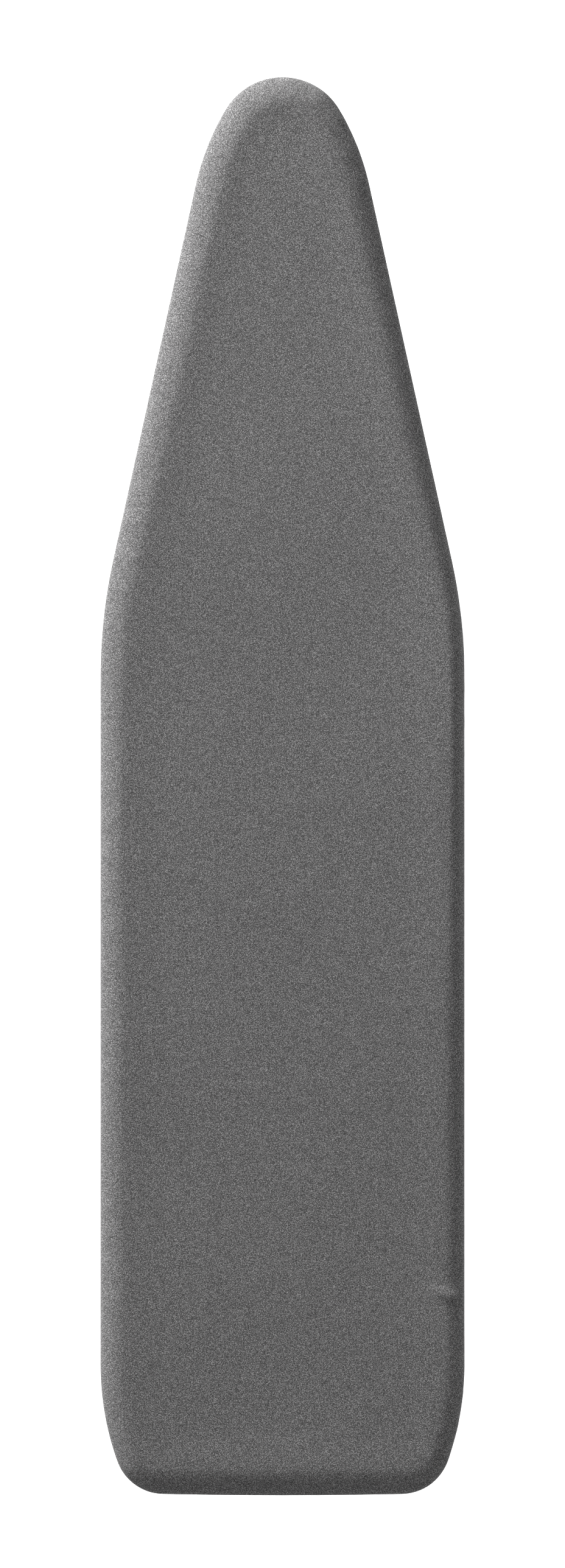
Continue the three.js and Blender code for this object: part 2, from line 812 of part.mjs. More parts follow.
// A cap over the foot bar's end, with a flat sole that is level at full height.
function footCapGeometry(side) {
  const start = footHalf - footCapLength;
  const bore = footBarRadius + clearance;
  const rounding = 4;
  const profile = [
    [0, start + footCapLength],
    [footCapRadius - rounding, footHalf],
    [footCapRadius - 1, footHalf - rounding / 2],
    [footCapRadius, footHalf - rounding],
    [footCapRadius, start + 1],
    [footCapRadius - 1, start],
    [bore, start],
    [bore, footHalf - footCapEnd],
    [0, footHalf - footCapEnd],
  ];
  const placed = profile.map(([r, x]) => [r, side * x]);
  const cap = turned("x", side > 0 ? placed.reverse() : placed, [0, 0], footSides);
  const below = box(-footSpan, footSpan, -footSpan, footSpan, -footSpan, -soleHeight);
  return cut(cap, below);
}

const axleTubeOut = outerTubeX + outerTubeRadius;
const axleWasherX = axleTubeOut + clearance;
const axleNutX = axleWasherX + washerGauge + clearance;

function axleGeometry() {
  return join(
    bar("x", axleHeadRadius, -axleNutX - axleHead, -axleNutX, [upperArm, 0], 6),
    bar("x", axleRadius, -axleNutX - 1, axleNutX + axleHead + axleEnd, [upperArm, 0]),
  );
}

function axleNutGeometry() {
  const hexagon = bar("x", axleHeadRadius, axleNutX, axleNutX + axleHead, [upperArm, 0], 6);
  const end = axleNutX + axleHead + 1;
  return cut(hexagon, bar("x", axleRadius + clearance, axleNutX - 1, end, [upperArm, 0]));
}

function ringOnAxle(radius, from, to) {
  return pipe("x", radius, axleRadius + clearance, from, to, [upperArm, 0], pinSides);
}

// ---- Assembly ----

const part = new THREE.Group();
const board = new THREE.Group();
board.position.z = deckUnder;
const lock = new THREE.Group();
board.add(lock);
const outerLeg = new THREE.Group();
outerLeg.position.set(0, pivotY, pivotZ);
outerLeg.rotation.x = -legAngle;
const innerLeg = new THREE.Group();
innerLeg.position.set(0, crossY, crossZ);
innerLeg.rotation.x = Math.PI + legAngle;
part.add(board, outerLeg, innerLeg);

const sides = [["left", -1], ["right", 1]];
const midBraceY = railTail + 22;
const noseBraceY = railNose - 22;

add(board, "cover", coverGeometry(), "cover");
add(board, "pad", padGeometry(), "felt");
add(board, "hem_elastic", elasticGeometry(), "elastic");
add(board, "deck_sheet", deckGeometry(), "paint");
add(board, "rim_channel", rimGeometry(), "paint");
add(board, "tail_brace", braceGeometry(pivotY, [-outerTubeX, outerTubeX]), "paint");
add(board, "mid_brace", braceGeometry(midBraceY, [0]), "paint");
add(board, "nose_brace", braceGeometry(noseBraceY, [0]), "paint");
add(board, "slide_rail", railGeometry([midBraceY, noseBraceY]), "paint");
add(board, "rail_rivet_tail", rivetGeometry(0, midBraceY, railGauge), "steel");
add(board, "rail_rivet_nose", rivetGeometry(0, noseBraceY, railGauge), "steel");
for (const [name, side] of sides) {
  add(board, `pivot_bracket_${name}`, bracketGeometry(side), "paint");
  add(board, `pivot_pin_${name}`, pivotPinGeometry(side), "steel");
  add(board, `bracket_rivet_${name}`, rivetGeometry(side * outerTubeX, pivotY, bracketGauge), "steel");
}
add(board, "lock_pivot_pin", lockPivotGeometry(), "steel");
add(board, "spring_seat", springSeatGeometry(), "paint");
add(board, "lock_spring", springGeometry(), "steel");

for (const [name, side] of sides) {
  add(lock, `lock_strip_${name}`, stripGeometry(side), "steel");
}
add(lock, "lock_shaft", shaftGeometry(), "steel");
add(lock, "shaft_cap", endCapGeometry(-1, shaftCapX, shaftRadius, [lockShaftY, lockShaftZ]), "plastic");
add(lock, "lever_grip", gripGeometry(), "plastic");

for (const [name, side] of sides) {
  add(outerLeg, `outer_tube_${name}`, outerTubeGeometry(side), "paint");
  add(outerLeg, `outer_tube_plug_${name}`, tubePlugGeometry(side), "plastic");
}
add(outerLeg, "outer_foot_bar", footBarGeometry(legLength), "paint");
add(outerLeg, "cross_axle", axleGeometry(), "steel");
add(outerLeg, "cross_axle_nut", axleNutGeometry(), "steel");
for (const [name, side] of sides) {
  const washerEnd = axleWasherX + washerGauge;
  const washer = side > 0 ? [axleWasherX, washerEnd] : [-washerEnd, -axleWasherX];
  const inner = innerTubeRadius + clearance;
  const outer = outerTubeX - outerTubeRadius - clearance;
  const spacer = side > 0 ? [inner, outer] : [-outer, -inner];
  add(outerLeg, `axle_washer_${name}`, ringOnAxle(washerRadius, ...washer), "steel");
  add(outerLeg, `axle_spacer_${name}`, ringOnAxle(spacerRadius, ...spacer), "nylon");
}

add(innerLeg, "inner_tube", innerTubeGeometry(), "paint");
add(innerLeg, "slide_head", headGeometry(), "nylon");
add(innerLeg, "slide_rod", slideRodGeometry(), "steel");
for (const [name, side] of sides) {
  const rodCap = endCapGeometry(side, rodCapX, rodRadius, [-upperArm, 0]);
  add(innerLeg, `slide_rod_cap_${name}`, rodCap, "plastic");
}
add(innerLeg, "inner_foot_bar", footBarGeometry(lowerArm), "paint");

// The caps hang in groups that undo the legs' tilt, so that their soles are level.
const outerFoot = new THREE.Group();
outerFoot.position.y = legLength;
outerFoot.rotation.x = legAngle;
outerLeg.add(outerFoot);
const innerFoot = new THREE.Group();
innerFoot.position.y = lowerArm;
innerFoot.rotation.x = -Math.PI - legAngle;
innerLeg.add(innerFoot);
for (const [name, side] of sides) {
  add(outerFoot, `outer_foot_cap_${name}`, footCapGeometry(side), "plastic");
  add(innerFoot, `inner_foot_cap_${name}`, footCapGeometry(side), "plastic");
}

export default part;
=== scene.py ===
import json
import math
from types import SimpleNamespace

import bmesh
import bpy
from mathutils import Matrix, Vector, noise


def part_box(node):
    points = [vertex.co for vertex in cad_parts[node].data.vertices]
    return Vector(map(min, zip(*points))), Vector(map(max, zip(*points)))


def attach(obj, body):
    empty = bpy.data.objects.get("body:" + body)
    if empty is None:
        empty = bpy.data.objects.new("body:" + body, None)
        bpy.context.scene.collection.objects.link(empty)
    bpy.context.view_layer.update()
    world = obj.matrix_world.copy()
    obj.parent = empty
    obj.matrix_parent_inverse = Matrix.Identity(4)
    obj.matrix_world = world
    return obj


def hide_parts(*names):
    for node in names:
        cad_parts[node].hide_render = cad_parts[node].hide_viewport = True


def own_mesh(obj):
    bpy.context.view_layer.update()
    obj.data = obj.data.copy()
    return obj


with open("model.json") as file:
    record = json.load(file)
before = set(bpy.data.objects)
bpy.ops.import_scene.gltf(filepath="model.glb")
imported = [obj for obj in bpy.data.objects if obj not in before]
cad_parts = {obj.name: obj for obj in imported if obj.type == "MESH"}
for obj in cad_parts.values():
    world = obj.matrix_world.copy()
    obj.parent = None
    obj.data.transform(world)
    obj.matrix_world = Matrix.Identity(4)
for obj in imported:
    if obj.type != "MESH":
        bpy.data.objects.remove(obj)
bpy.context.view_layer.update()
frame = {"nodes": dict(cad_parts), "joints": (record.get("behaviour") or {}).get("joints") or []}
joints = {joint["name"]: joint for joint in frame["joints"]}


def addNode(tree, kind, inputs=None, **settings):
    node = tree.nodes.new(kind)
    for key, value in settings.items():
        setattr(node, key, value)
    for key, value in (inputs or {}).items():
        if isinstance(value, bpy.types.NodeSocket):
            tree.links.new(value, node.inputs[key])
        else:
            node.inputs[key].default_value = value
    return node


def ramp(tree, factor, stops):
    node = addNode(tree, "ShaderNodeValToRGB", {"Fac": factor})
    elements = node.color_ramp.elements
    while len(elements) < len(stops):
        elements.new(1)
    for element, (place, tone) in zip(elements, stops):
        element.position = place
        element.color = (*tone, 1) if isinstance(tone, tuple) else (tone, tone, tone, 1)
    return node.outputs["Color"]


def noiseAt(tree, coords, scale, detail=2.0, roughness=0.5):
    inputs = {"Vector": coords, "Scale": scale, "Detail": detail, "Roughness": roughness}
    return addNode(tree, "ShaderNodeTexNoise", inputs).outputs["Fac"]


def tint(tree, a, b, factor=1.0, how="MULTIPLY"):
    node = addNode(tree, "ShaderNodeMix", data_type="RGBA", blend_type=how)
    for socket, value in ((node.inputs[0], factor), (node.inputs[6], a), (node.inputs[7], b)):
        if isinstance(value, bpy.types.NodeSocket):
            tree.links.new(value, socket)
        else:
            socket.default_value = value
    return node.outputs[2]


def bump(tree, height, depth, below=None):
    node = addNode(tree, "ShaderNodeBump", {"Height": height, "Strength": 1.0, "Distance": depth})
    if below:
        tree.links.new(below, node.inputs["Normal"])
    return node.outputs["Normal"]


def startMaterial(name):
    material = bpy.data.materials.new(name)
    material.use_nodes = True
    tree = material.node_tree
    shader = tree.nodes["Principled BSDF"]
    coords = addNode(tree, "ShaderNodeTexCoord").outputs["Object"]
    return material, tree, shader, coords


def newPiece(name, verts, faces, smoothAngle=35):
    mesh = bpy.data.meshes.new(name)
    mesh.from_pydata(verts, [], faces)
    work = bmesh.new()
    work.from_mesh(mesh)
    bmesh.ops.remove_doubles(work, verts=work.verts, dist=1e-7)
    bmesh.ops.recalc_face_normals(work, faces=work.faces)
    work.to_mesh(mesh)
    work.free()
    mesh.polygons.foreach_set("use_smooth", [True] * len(mesh.polygons))
    mesh.set_sharp_from_angle(angle=math.radians(smoothAngle))
    piece = bpy.data.objects.new(name, mesh)
    bpy.context.scene.collection.objects.link(piece)
    return piece


def roundEdges(piece, width, segments=2, angle=30):
    bevel = piece.modifiers.new("roundedEdges", "BEVEL")
    bevel.width = width
    bevel.segments = segments
    bevel.limit_method = "ANGLE"
    bevel.angle_limit = math.radians(angle)
    bevel.harden_normals = True
    return piece


def fit(piece, body, slotName, *nodes):
    piece.data.materials.clear()
    piece.data.materials.append(finishes[slotName])
    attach(piece, body)
    if nodes:
        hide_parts(*nodes)
    return piece


def boxOf(node):
    low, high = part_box(node)
    return SimpleNamespace(low=low, high=high, middle=(low + high) / 2, size=high - low)


# The faces between rings of points that follow each other, each ring with as many points as the others.
def ringFaces(rings, count, closed=False):
    faces = []
    for ring in range(rings if closed else rings - 1):
        following = (ring + 1) % rings
        for i in range(count):
            j = (i + 1) % count
            faces.append((ring * count + i, ring * count + j, following * count + j, following * count + i))
    return faces


# One profile spun round an axis, as [radius, place along it], with its open ends filled.
def turned(name, profile, matrix, axis="X", sides=40):
    verts = []
    for radius, along in profile:
        for i in range(sides):
            turn = 2 * math.pi * i / sides
            a, b = radius * math.cos(turn), radius * math.sin(turn)
            local = {"X": (along, a, b), "Y": (b, along, a), "Z": (a, b, along)}[axis]
            verts.append(matrix @ Vector(local))
    faces = ringFaces(len(profile), sides)
    if profile[0] != profile[-1]:
        faces.append(tuple(reversed(range(sides))))
        faces.append(tuple(range(len(verts) - sides, len(verts))))
    return newPiece(name, verts, faces)


# Points round part of a unit circle.
def arc(start, end, steps):
    turns = [math.radians(start + (end - start) * i / steps) for i in range(steps + 1)]
    return [(math.cos(turn), math.sin(turn)) for turn in turns]


cloth = {
    "speckSize": 0.0007, "darkYarn": 0.02, "midYarn": 0.055, "lightYarn": 0.24,
    "nap": 0.0002, "fibreSize": 0.0007, "shade": 0.025, "shadeScale": 9,
    "skew": (0.7, 0.5, 0.3),  # turns the noise so that no flat face lies along its lattice
    "warmth": (1.0, 0.985, 0.99, 1), "roughness": 0.95, "gloss": 0.05, "sheen": 0.05, "sheenRoughness": 0.6,
}


def makeHeatherCloth():
    material, tree, shader, coords = startMaterial("heatherCloth")
    coords = addNode(tree, "ShaderNodeMapping", {"Vector": coords, "Rotation": cloth["skew"]}).outputs[0]
    speck = noiseAt(tree, coords, 1 / cloth["speckSize"], 1, 0.5)
    yarn = ramp(tree, speck, [(0.3, cloth["darkYarn"]), (0.5, cloth["midYarn"]), (0.7, cloth["lightYarn"])])
    clouds = noiseAt(tree, coords, cloth["shadeScale"], 3)
    cloudy = ramp(tree, clouds, [(0.3, 1 - cloth["shade"]), (0.7, 1.0)])
    colour = tint(tree, tint(tree, yarn, cloudy), cloth["warmth"])
    tree.links.new(colour, shader.inputs["Base Color"])
    fibres = noiseAt(tree, coords, 1 / cloth["fibreSize"], 2, 0.7)
    normal = bump(tree, speck, cloth["nap"])
    normal = bump(tree, fibres, cloth["nap"] * 0.4, normal)
    tree.links.new(normal, shader.inputs["Normal"])
    shader.inputs["Roughness"].default_value = cloth["roughness"]
    shader.inputs["Specular IOR Level"].default_value = cloth["gloss"]
    shader.inputs["Sheen Weight"].default_value = cloth["sheen"]
    shader.inputs["Sheen Roughness"].default_value = cloth["sheenRoughness"]
    return material


felt = {
    "tone": (0.3, 0.29, 0.265), "fleck": (0.2, 0.205, 0.24), "fleckScale": 260,
    "fibreSize": 0.0016, "grain": (1, 2.6, 1), "nap": 0.0007, "roughness": 0.95, "sheen": 0.2,
}


def makeNeedledFelt():
    material, tree, shader, coords = startMaterial("needledFelt")
    stretched = addNode(tree, "ShaderNodeMapping", {"Vector": coords, "Scale": felt["grain"]}).outputs[0]
    fibres = noiseAt(tree, stretched, 1 / felt["fibreSize"], 4, 0.7)
    flecks = ramp(tree, noiseAt(tree, coords, felt["fleckScale"], 2), [(0.6, 0.0), (0.72, 1.0)])
    colour = tint(tree, (*felt["tone"], 1), (*felt["fleck"], 1), flecks, "MIX")
    colour = tint(tree, colour, ramp(tree, fibres, [(0.3, 0.7), (0.65, 1.0)]))
    tree.links.new(colour, shader.inputs["Base Color"])
    tree.links.new(bump(tree, fibres, felt["nap"]), shader.inputs["Normal"])
    shader.inputs["Roughness"].default_value = felt["roughness"]
    shader.inputs["Sheen Weight"].default_value = felt["sheen"]
    return material


tape = {"tone": (0.02, 0.02, 0.022), "ribSize": 0.0011, "relief": 0.0004, "roughness": 0.85}


def makeElasticTape():
    material, tree, shader, coords = startMaterial("elasticTape")
    weave = addNode(tree, "ShaderNodeTexVoronoi", {"Vector": coords, "Scale": 1 / tape["ribSize"]})
    height = weave.outputs["Distance"]
    # The colour is darker where the weave sinks between its cells: painted shade in the grooves.
    colour = tint(tree, (*tape["tone"], 1), ramp(tree, height, [(0.0, 1.0), (0.7, 0.45)]))
    tree.links.new(colour, shader.inputs["Base Color"])
    tree.links.new(bump(tree, height, -tape["relief"]), shader.inputs["Normal"])
    shader.inputs["Roughness"].default_value = tape["roughness"]
    return material


paint = {
    "tone": (0.125, 0.129, 0.133), "chip": (0.06, 0.057, 0.054), "peelSize": 0.0022, "peelDepth": 0.00006,
    "flakeScale": 2600, "grimeScale": 22, "chipScale": 160, "sheenScale": 60,
    "metallic": 0.2, "coat": 0.15,
}


def makeSilverPaint():
    material, tree, shader, coords = startMaterial("silverPaint")
    flake = ramp(tree, noiseAt(tree, coords, paint["flakeScale"], 1), [(0.35, 0.88), (0.7, 1.12)])
    grime = ramp(tree, noiseAt(tree, coords, paint["grimeScale"], 4, 0.6), [(0.3, 0.86), (0.62, 1.0)])
    colour = tint(tree, tint(tree, (*paint["tone"], 1), flake), grime)
    edge = addNode(tree, "ShaderNodeNewGeometry").outputs["Pointiness"]
    scuffs = tint(tree, ramp(tree, edge, [(0.57, 0.0), (0.66, 0.8)]),
                  ramp(tree, noiseAt(tree, coords, paint["chipScale"], 3, 0.7), [(0.52, 0.0), (0.66, 1.0)]))
    colour = tint(tree, colour, (*paint["chip"], 1), scuffs, "MIX")
    tree.links.new(colour, shader.inputs["Base Color"])
    rough = ramp(tree, noiseAt(tree, coords, paint["sheenScale"], 3), [(0.3, 0.34), (0.7, 0.5)])
    tree.links.new(rough, shader.inputs["Roughness"])
    peel = noiseAt(tree, coords, 1 / paint["peelSize"], 1)
    tree.links.new(bump(tree, peel, paint["peelDepth"]), shader.inputs["Normal"])
    shader.inputs["Metallic"].default_value = paint["metallic"]
    shader.inputs["Coat Weight"].default_value = paint["coat"]
    return material


steel = {
    "tone": (0.3, 0.3, 0.31), "blue": (0.245, 0.26, 0.28), "spangleScale": 130,
    "drawn": (900, 60, 900), "brushing": 0.00001,
}


def makeBrightSteel():
    material, tree, shader, coords = startMaterial("brightSteel")
    spangle = ramp(tree, noiseAt(tree, coords, steel["spangleScale"], 2), [(0.35, 0.0), (0.65, 1.0)])
    colour = tint(tree, (*steel["tone"], 1), (*steel["blue"], 1), spangle, "MIX")
    tree.links.new(colour, shader.inputs["Base Color"])
    drawn = addNode(tree, "ShaderNodeMapping", {"Vector": coords, "Scale": steel["drawn"]}).outputs[0]
    scratches = noiseAt(tree, drawn, 1, 2)
    tree.links.new(ramp(tree, scratches, [(0.3, 0.22), (0.7, 0.38)]), shader.inputs["Roughness"])
    tree.links.new(bump(tree, scratches, steel["brushing"]), shader.inputs["Normal"])
    shader.inputs["Metallic"].default_value = 1.0
    return material


plastic = {
    "tone": (0.012, 0.012, 0.013), "roughness": (0.42, 0.6), "dustScale": 45,
    "nylonTone": (0.02, 0.02, 0.021), "nylonRoughness": (0.3, 0.42),
    "grainSize": 0.0009, "grainDepth": 0.00008,
}


def makePlastic(name, tone, roughness):
    material, tree, shader, coords = startMaterial(name)
    dusty = ramp(tree, noiseAt(tree, coords, plastic["dustScale"], 4, 0.6), [(0.45, 1.0), (0.75, 1.6)])
    tree.links.new(tint(tree, (*tone, 1), dusty), shader.inputs["Base Color"])
    grain = noiseAt(tree, coords, 1 / plastic["grainSize"], 2)
    tree.links.new(ramp(tree, grain, [(0.3, roughness[0]), (0.7, roughness[1])]), shader.inputs["Roughness"])
    tree.links.new(bump(tree, grain, plastic["grainDepth"]), shader.inputs["Normal"])
    return material


finishes = {
    "cover_cloth": makeHeatherCloth(),
    "pad_felt": makeNeedledFelt(),
    "elastic_tape": makeElasticTape(),
    "silver_paint": makeSilverPaint(),
    "bright_steel": makeBrightSteel(),
    "dark_plastic": makePlastic("darkPlastic", plastic["tone"], plastic["roughness"]),
    "dark_nylon": makePlastic("darkNylon", plastic["nylonTone"], plastic["nylonRoughness"]),
}
print("finishes ready")


# The board's outline, in metres and degrees, from the nose to the tail.
boardShape = {
    "noseRadius": 0.064, "noseTurn": 59.3, "flankRadius": 0.25, "taper": 12.4, "shoulderRadius": 0.52,
    "tailFlankRadius": 0.274, "tailFlankTurn": 19.8, "cornerRadius": 0.048, "tailEndTurn": 1.2,
    "spacing": 0.0045, "arcStep": 3, "spineFront": 0.1, "spineBack": 0.16,
}
coverBox = boxOf("cover")


# How far a bend takes the outline across and along the board.
def bendAcross(radius, start, turn):
    return radius * (math.sin(start + turn) - math.sin(start))


def bendDown(radius, start, turn):
    return radius * (math.cos(start) - math.cos(start + turn))


# Half the outline, from the nose tip to the middle of the tail, as [x, y, heading] in close steps.
def halfOutline():
    shape = boardShape
    taper = math.radians(shape["taper"])
    noseTurn = math.radians(shape["noseTurn"])
    flankTurn = math.pi / 2 - taper - noseTurn
    tailTurn = math.radians(shape["tailFlankTurn"])
    endTurn = math.radians(shape["tailEndTurn"])
    cornerTurn = math.pi / 2 - tailTurn - endTurn
    front = [(shape["noseRadius"], 0, noseTurn), (shape["flankRadius"], noseTurn, flankTurn),
             (shape["shoulderRadius"], math.pi / 2 - taper, taper)]
    tail = [(shape["tailFlankRadius"], math.pi / 2, tailTurn),
            (shape["cornerRadius"], math.pi / 2 + tailTurn, cornerTurn)]
    half = coverBox.size.x / 2
    endStart = math.pi - endTurn
    endRadius = (half + sum(bendAcross(*piece) for piece in tail)) / -bendAcross(1, endStart, endTurn)
    tail.append((endRadius, endStart, endTurn))
    taperRun = (half - sum(bendAcross(*piece) for piece in front)) / math.sin(taper)
    sideRun = coverBox.size.y - sum(bendDown(*piece) for piece in front + tail) - taperRun * math.cos(taper)
    route = [*front[:2], taperRun, front[2], sideRun, *tail]

    x, y, heading = 0.0, coverBox.high.y, 0.0
    points = [(x, y, heading)]
    for piece in route:
        straight = not isinstance(piece, tuple)
        length = piece if straight else piece[0] * piece[2]
        steps = max(2, round(length / shape["spacing"]))
        if not straight:
            steps = max(steps, round(math.degrees(piece[2]) / shape["arcStep"]))
        for _ in range(steps):
            if straight:
                x += piece / steps * math.cos(heading)
                y -= piece / steps * math.sin(heading)
            else:
                turn = piece[2] / steps
                x += bendAcross(piece[0], heading, turn)
                y -= bendDown(piece[0], heading, turn)
                heading += turn
            points.append((x, y, heading))
    return points


def wholeOutline():
    half = halfOutline()
    half[-1] = (0.0, half[-1][1], math.pi)
    left = [(-x, y, -heading) for x, y, heading in half[1:-1]]
    return half + left[::-1]


edgeWalk = wholeOutline()


def ringAt(inset):
    return [(x - inset * math.sin(turn), y - inset * math.cos(turn)) for x, y, turn in edgeWalk]


def outlineArea(inset):
    ring = ringAt(inset)
    pairs = zip(ring, ring[1:] + ring[:1])
    return abs(sum(a[0] * b[1] - b[0] * a[1] for a, b in pairs)) / 2


# Rings that shrink from a given one to a line down the middle of the board, as [x, y, way come].
def ringsInwards(outer, spacing):
    high = coverBox.high.y - boardShape["spineFront"]
    low = coverBox.low.y + boardShape["spineBack"]
    steps = round(coverBox.size.x / 2 / spacing)
    rings = []
    for i in range(1, steps + 1):
        share = i / steps
        ring = []
        for (x, y, _), (edgeX, edgeY, _) in zip(outer, edgeWalk):
            spineY = min(max(edgeY, low), high)
            way = share * math.hypot(edgeX, edgeY - spineY)
            ring.append((x * (1 - share), y + (spineY - y) * share, way))
        rings.append(ring)
    return rings


def joinRings(rings, closed=False):
    return [point for ring in rings for point in ring], ringFaces(len(rings), len(rings[0]), closed)


cover = {
    "thickness": 0.0012, "roll": 0.027, "fullness": 1.64, "widest": boxOf("deck_sheet").low.z - 0.004,
    "slimmer": 0.07, "slimmerSides": 0.19, "sidesFrom": 0.3, "sidesFade": 0.25,
    "rounder": 0.4, "tailShare": 0.4, "dish": 0.001, "dishWidth": 0.028,
    "lip": {"height": 0.0032, "tighter": 0.25, "place": 0.12, "spread": 0.26},
    "underRoll": 0.011, "hem": 0.036,
    "sway": 0.001, "swaySize": 0.16, "pucker": 0.0004, "puckerPitch": 0.033, "underPucker": 1.5,
    "gather": 0.0016, "gatherPitch": 0.014, "ringSpacing": 0.0055, "rollSteps": 18, "hemSteps": 6,
    "crease": {
        "from": Vector((0.176, -0.4945)), "to": Vector((0.148, -0.4885)),
        "height": 0.0042, "width": 0.0048, "runOn": 1.4,
    },
}


# The padding is pushed up along the right edge, most of all near the shoulder.
def lipShare(y):
    return math.exp(-((y - cover["lip"]["place"]) / cover["lip"]["spread"]) ** 2)


def lipHeight(x, y):
    return cover["lip"]["height"] * max(0.0, 2 * x / coverBox.size.x) ** 3 * lipShare(y)


# One ring of the roll, from the widest place at 0 to the flat top at 1. It is flatter than an ellipse
# where the cloth pulls tight, slimmer down the straight sides and by the lip, and rounder on the right.
def rollRing(share, under=0.0):
    ring = []
    for x, y, turn in edgeWalk:
        right = max(0.0, math.sin(turn))
        tail = max(0.0, -math.cos(turn))
        straight = abs(math.sin(turn)) * min(1.0, max(0.0, (cover["sidesFrom"] - y) / cover["sidesFade"]))
        width = cover["roll"] * (1 - cover["slimmer"] * right - cover["slimmerSides"] * straight)
        width *= 1 - cover["lip"]["tighter"] * right * lipShare(y)
        power = 2 / (cover["fullness"] + cover["rounder"] * max(right, tail * cover["tailShare"]))
        reach = math.cos(math.pi / 2 * share) ** power
        inset = width * (1 - reach) + under * reach
        rise = math.sin(math.pi / 2 * share) ** power
        z = cover["widest"] + (coverBox.high.z - cover["widest"]) * rise - under
        ring.append((x - inset * math.sin(turn), y - inset * math.cos(turn), z))
    return ring


# The top sinks a little inside the padded edge.
def dishDepth(way):
    return cover["dish"] * (1 - math.exp(-(way / cover["dishWidth"]) ** 2))


# The cloth under the widest place and its hem, as [inset, z].
def underSection():
    under, widest, bottom = cover["underRoll"], cover["widest"], coverBox.low.z
    section = [(under - under * c, widest + (widest - bottom) * s) for c, s in arc(0, -90, 9)[1:]]
    steps = cover["hemSteps"]
    return section + [(under + (cover["hem"] - under) * i / steps, bottom) for i in range(1, steps + 1)]


# How far the cloth wanders from its smooth shape: long waves on top, small puckers round the edge.
def clothSway(x, y):
    return cover["sway"] * noise.noise(Vector((x, y, 0.3)) / cover["swaySize"])


def edgePucker(along):
    wander = 3 * noise.noise(Vector((along * 4, 0, 2)))
    strength = 0.45 + noise.noise(Vector((along * 7, 5, 0)))
    return cover["pucker"] * strength * math.sin(2 * math.pi * along / cover["puckerPitch"] + wander)


# A short fold that starts at the edge and fades out on the top.
def creaseHeight(x, y):
    crease = cover["crease"]
    along = crease["to"] - crease["from"]
    offset = Vector((x, y)) - crease["from"]
    share = offset.dot(along) / along.length_squared
    if share > crease["runOn"] or share < -0.2:
        return 0.0
    away = abs(along.x * offset.y - along.y * offset.x) / along.length / crease["width"]
    return crease["height"] * math.exp(-away * away) * max(0.0, 1 - max(0.0, share) / crease["runOn"])


# The hem is gathered by its elastic, more towards its inner edge.
def hemWave(along, share):
    turn = 2 * math.pi * along / cover["gatherPitch"]
    wander = 2.5 * noise.noise(Vector((along * 9, 0, 0)))
    return cover["gather"] * share * (0.5 + 0.5 * math.sin(turn + wander))


def walkLengths():
    lengths = [0.0]
    for a, b in zip(edgeWalk, edgeWalk[1:]):
        lengths.append(lengths[-1] + math.hypot(b[0] - a[0], b[1] - a[1]))
    return lengths


alongEdge = walkLengths()


# Everything that moves the top up or down, except the dish.
def topRise(x, y, height):
    return (clothSway(x, y) + lipHeight(x, y)) * height + creaseHeight(x, y) * min(1.0, 2 * height)


def topPoint(x, y, z, along, turn):
    height = (z - cover["widest"]) / (coverBox.high.z - cover["widest"])
    out = edgePucker(along) * 4 * height * (1 - height)
    return x + out * math.sin(turn), y + out * math.cos(turn), z + topRise(x, y, height) + out * 0.8


def makeCover():
    rings = []
    for ring in ringsInwards(rollRing(1.0), cover["ringSpacing"])[::-1]:
        rings.append([(x, y, coverBox.high.z + topRise(x, y, 1.0) - dishDepth(way)) for x, y, way in ring])
    steps = cover["rollSteps"]
    for i in range(steps, -1, -1):
        ring = rollRing(i / steps)
        rings.append([topPoint(*point, along, turn)
                      for point, along, (_, _, turn) in zip(ring, alongEdge, edgeWalk)])
    hemStart = cover["underRoll"]
    for inset, z in underSection():
        drop = min(1.0, inset / hemStart)
        flat = max(0.0, inset - hemStart) / (cover["hem"] - hemStart)
        ring = []
        for (x, y), (_, _, turn), along in zip(ringAt(inset), edgeWalk, alongEdge):
            out = edgePucker(along) * drop * cover["underPucker"]
            ring.append((x + out * math.sin(turn), y + out * math.cos(turn), z + hemWave(along, flat)))
        rings.append(ring)
    verts, faces = joinRings(rings)
    piece = newPiece("coverCloth", verts, faces, 180)
    skin = piece.modifiers.new("clothThickness", "SOLIDIFY")
    skin.thickness = cover["thickness"]
    skin.offset = -1
    return piece


def arcLength(points):
    return sum(math.dist(a, b) for a, b in zip(points, points[1:]))


coverCloth = makeCover()
fit(coverCloth, "board", "cover_cloth", "cover")
print("cover ready")


elastic = {
    "width": 0.007, "overlap": 0.0012, "thickness": 0.0008, "rows": 4, "lift": 0.0002, "slant": 0.0005,
    "threadRadius": 0.00028, "stitch": 0.0042, "swing": 0.0016, "threadDrop": 0.0007,
}


def makeElastic():
    tapeInset = cover["hem"] - elastic["overlap"]
    rows = elastic["rows"]
    rings = []
    for row in range(rows + 1):
        inset = tapeInset + (elastic["width"] + elastic["overlap"]) * row / rows
        level = coverBox.low.z - elastic["lift"] + elastic["slant"] * row / rows
        rings.append([(x, y, level + hemWave(along, 1.0)) for (x, y), along in zip(ringAt(inset), alongEdge)])
    verts, faces = joinRings(rings)
    piece = newPiece("hemElastic", verts, faces, 180)
    band = piece.modifiers.new("bandThickness", "SOLIDIFY")
    band.thickness = elastic["thickness"]
    band.offset = 1
    return piece


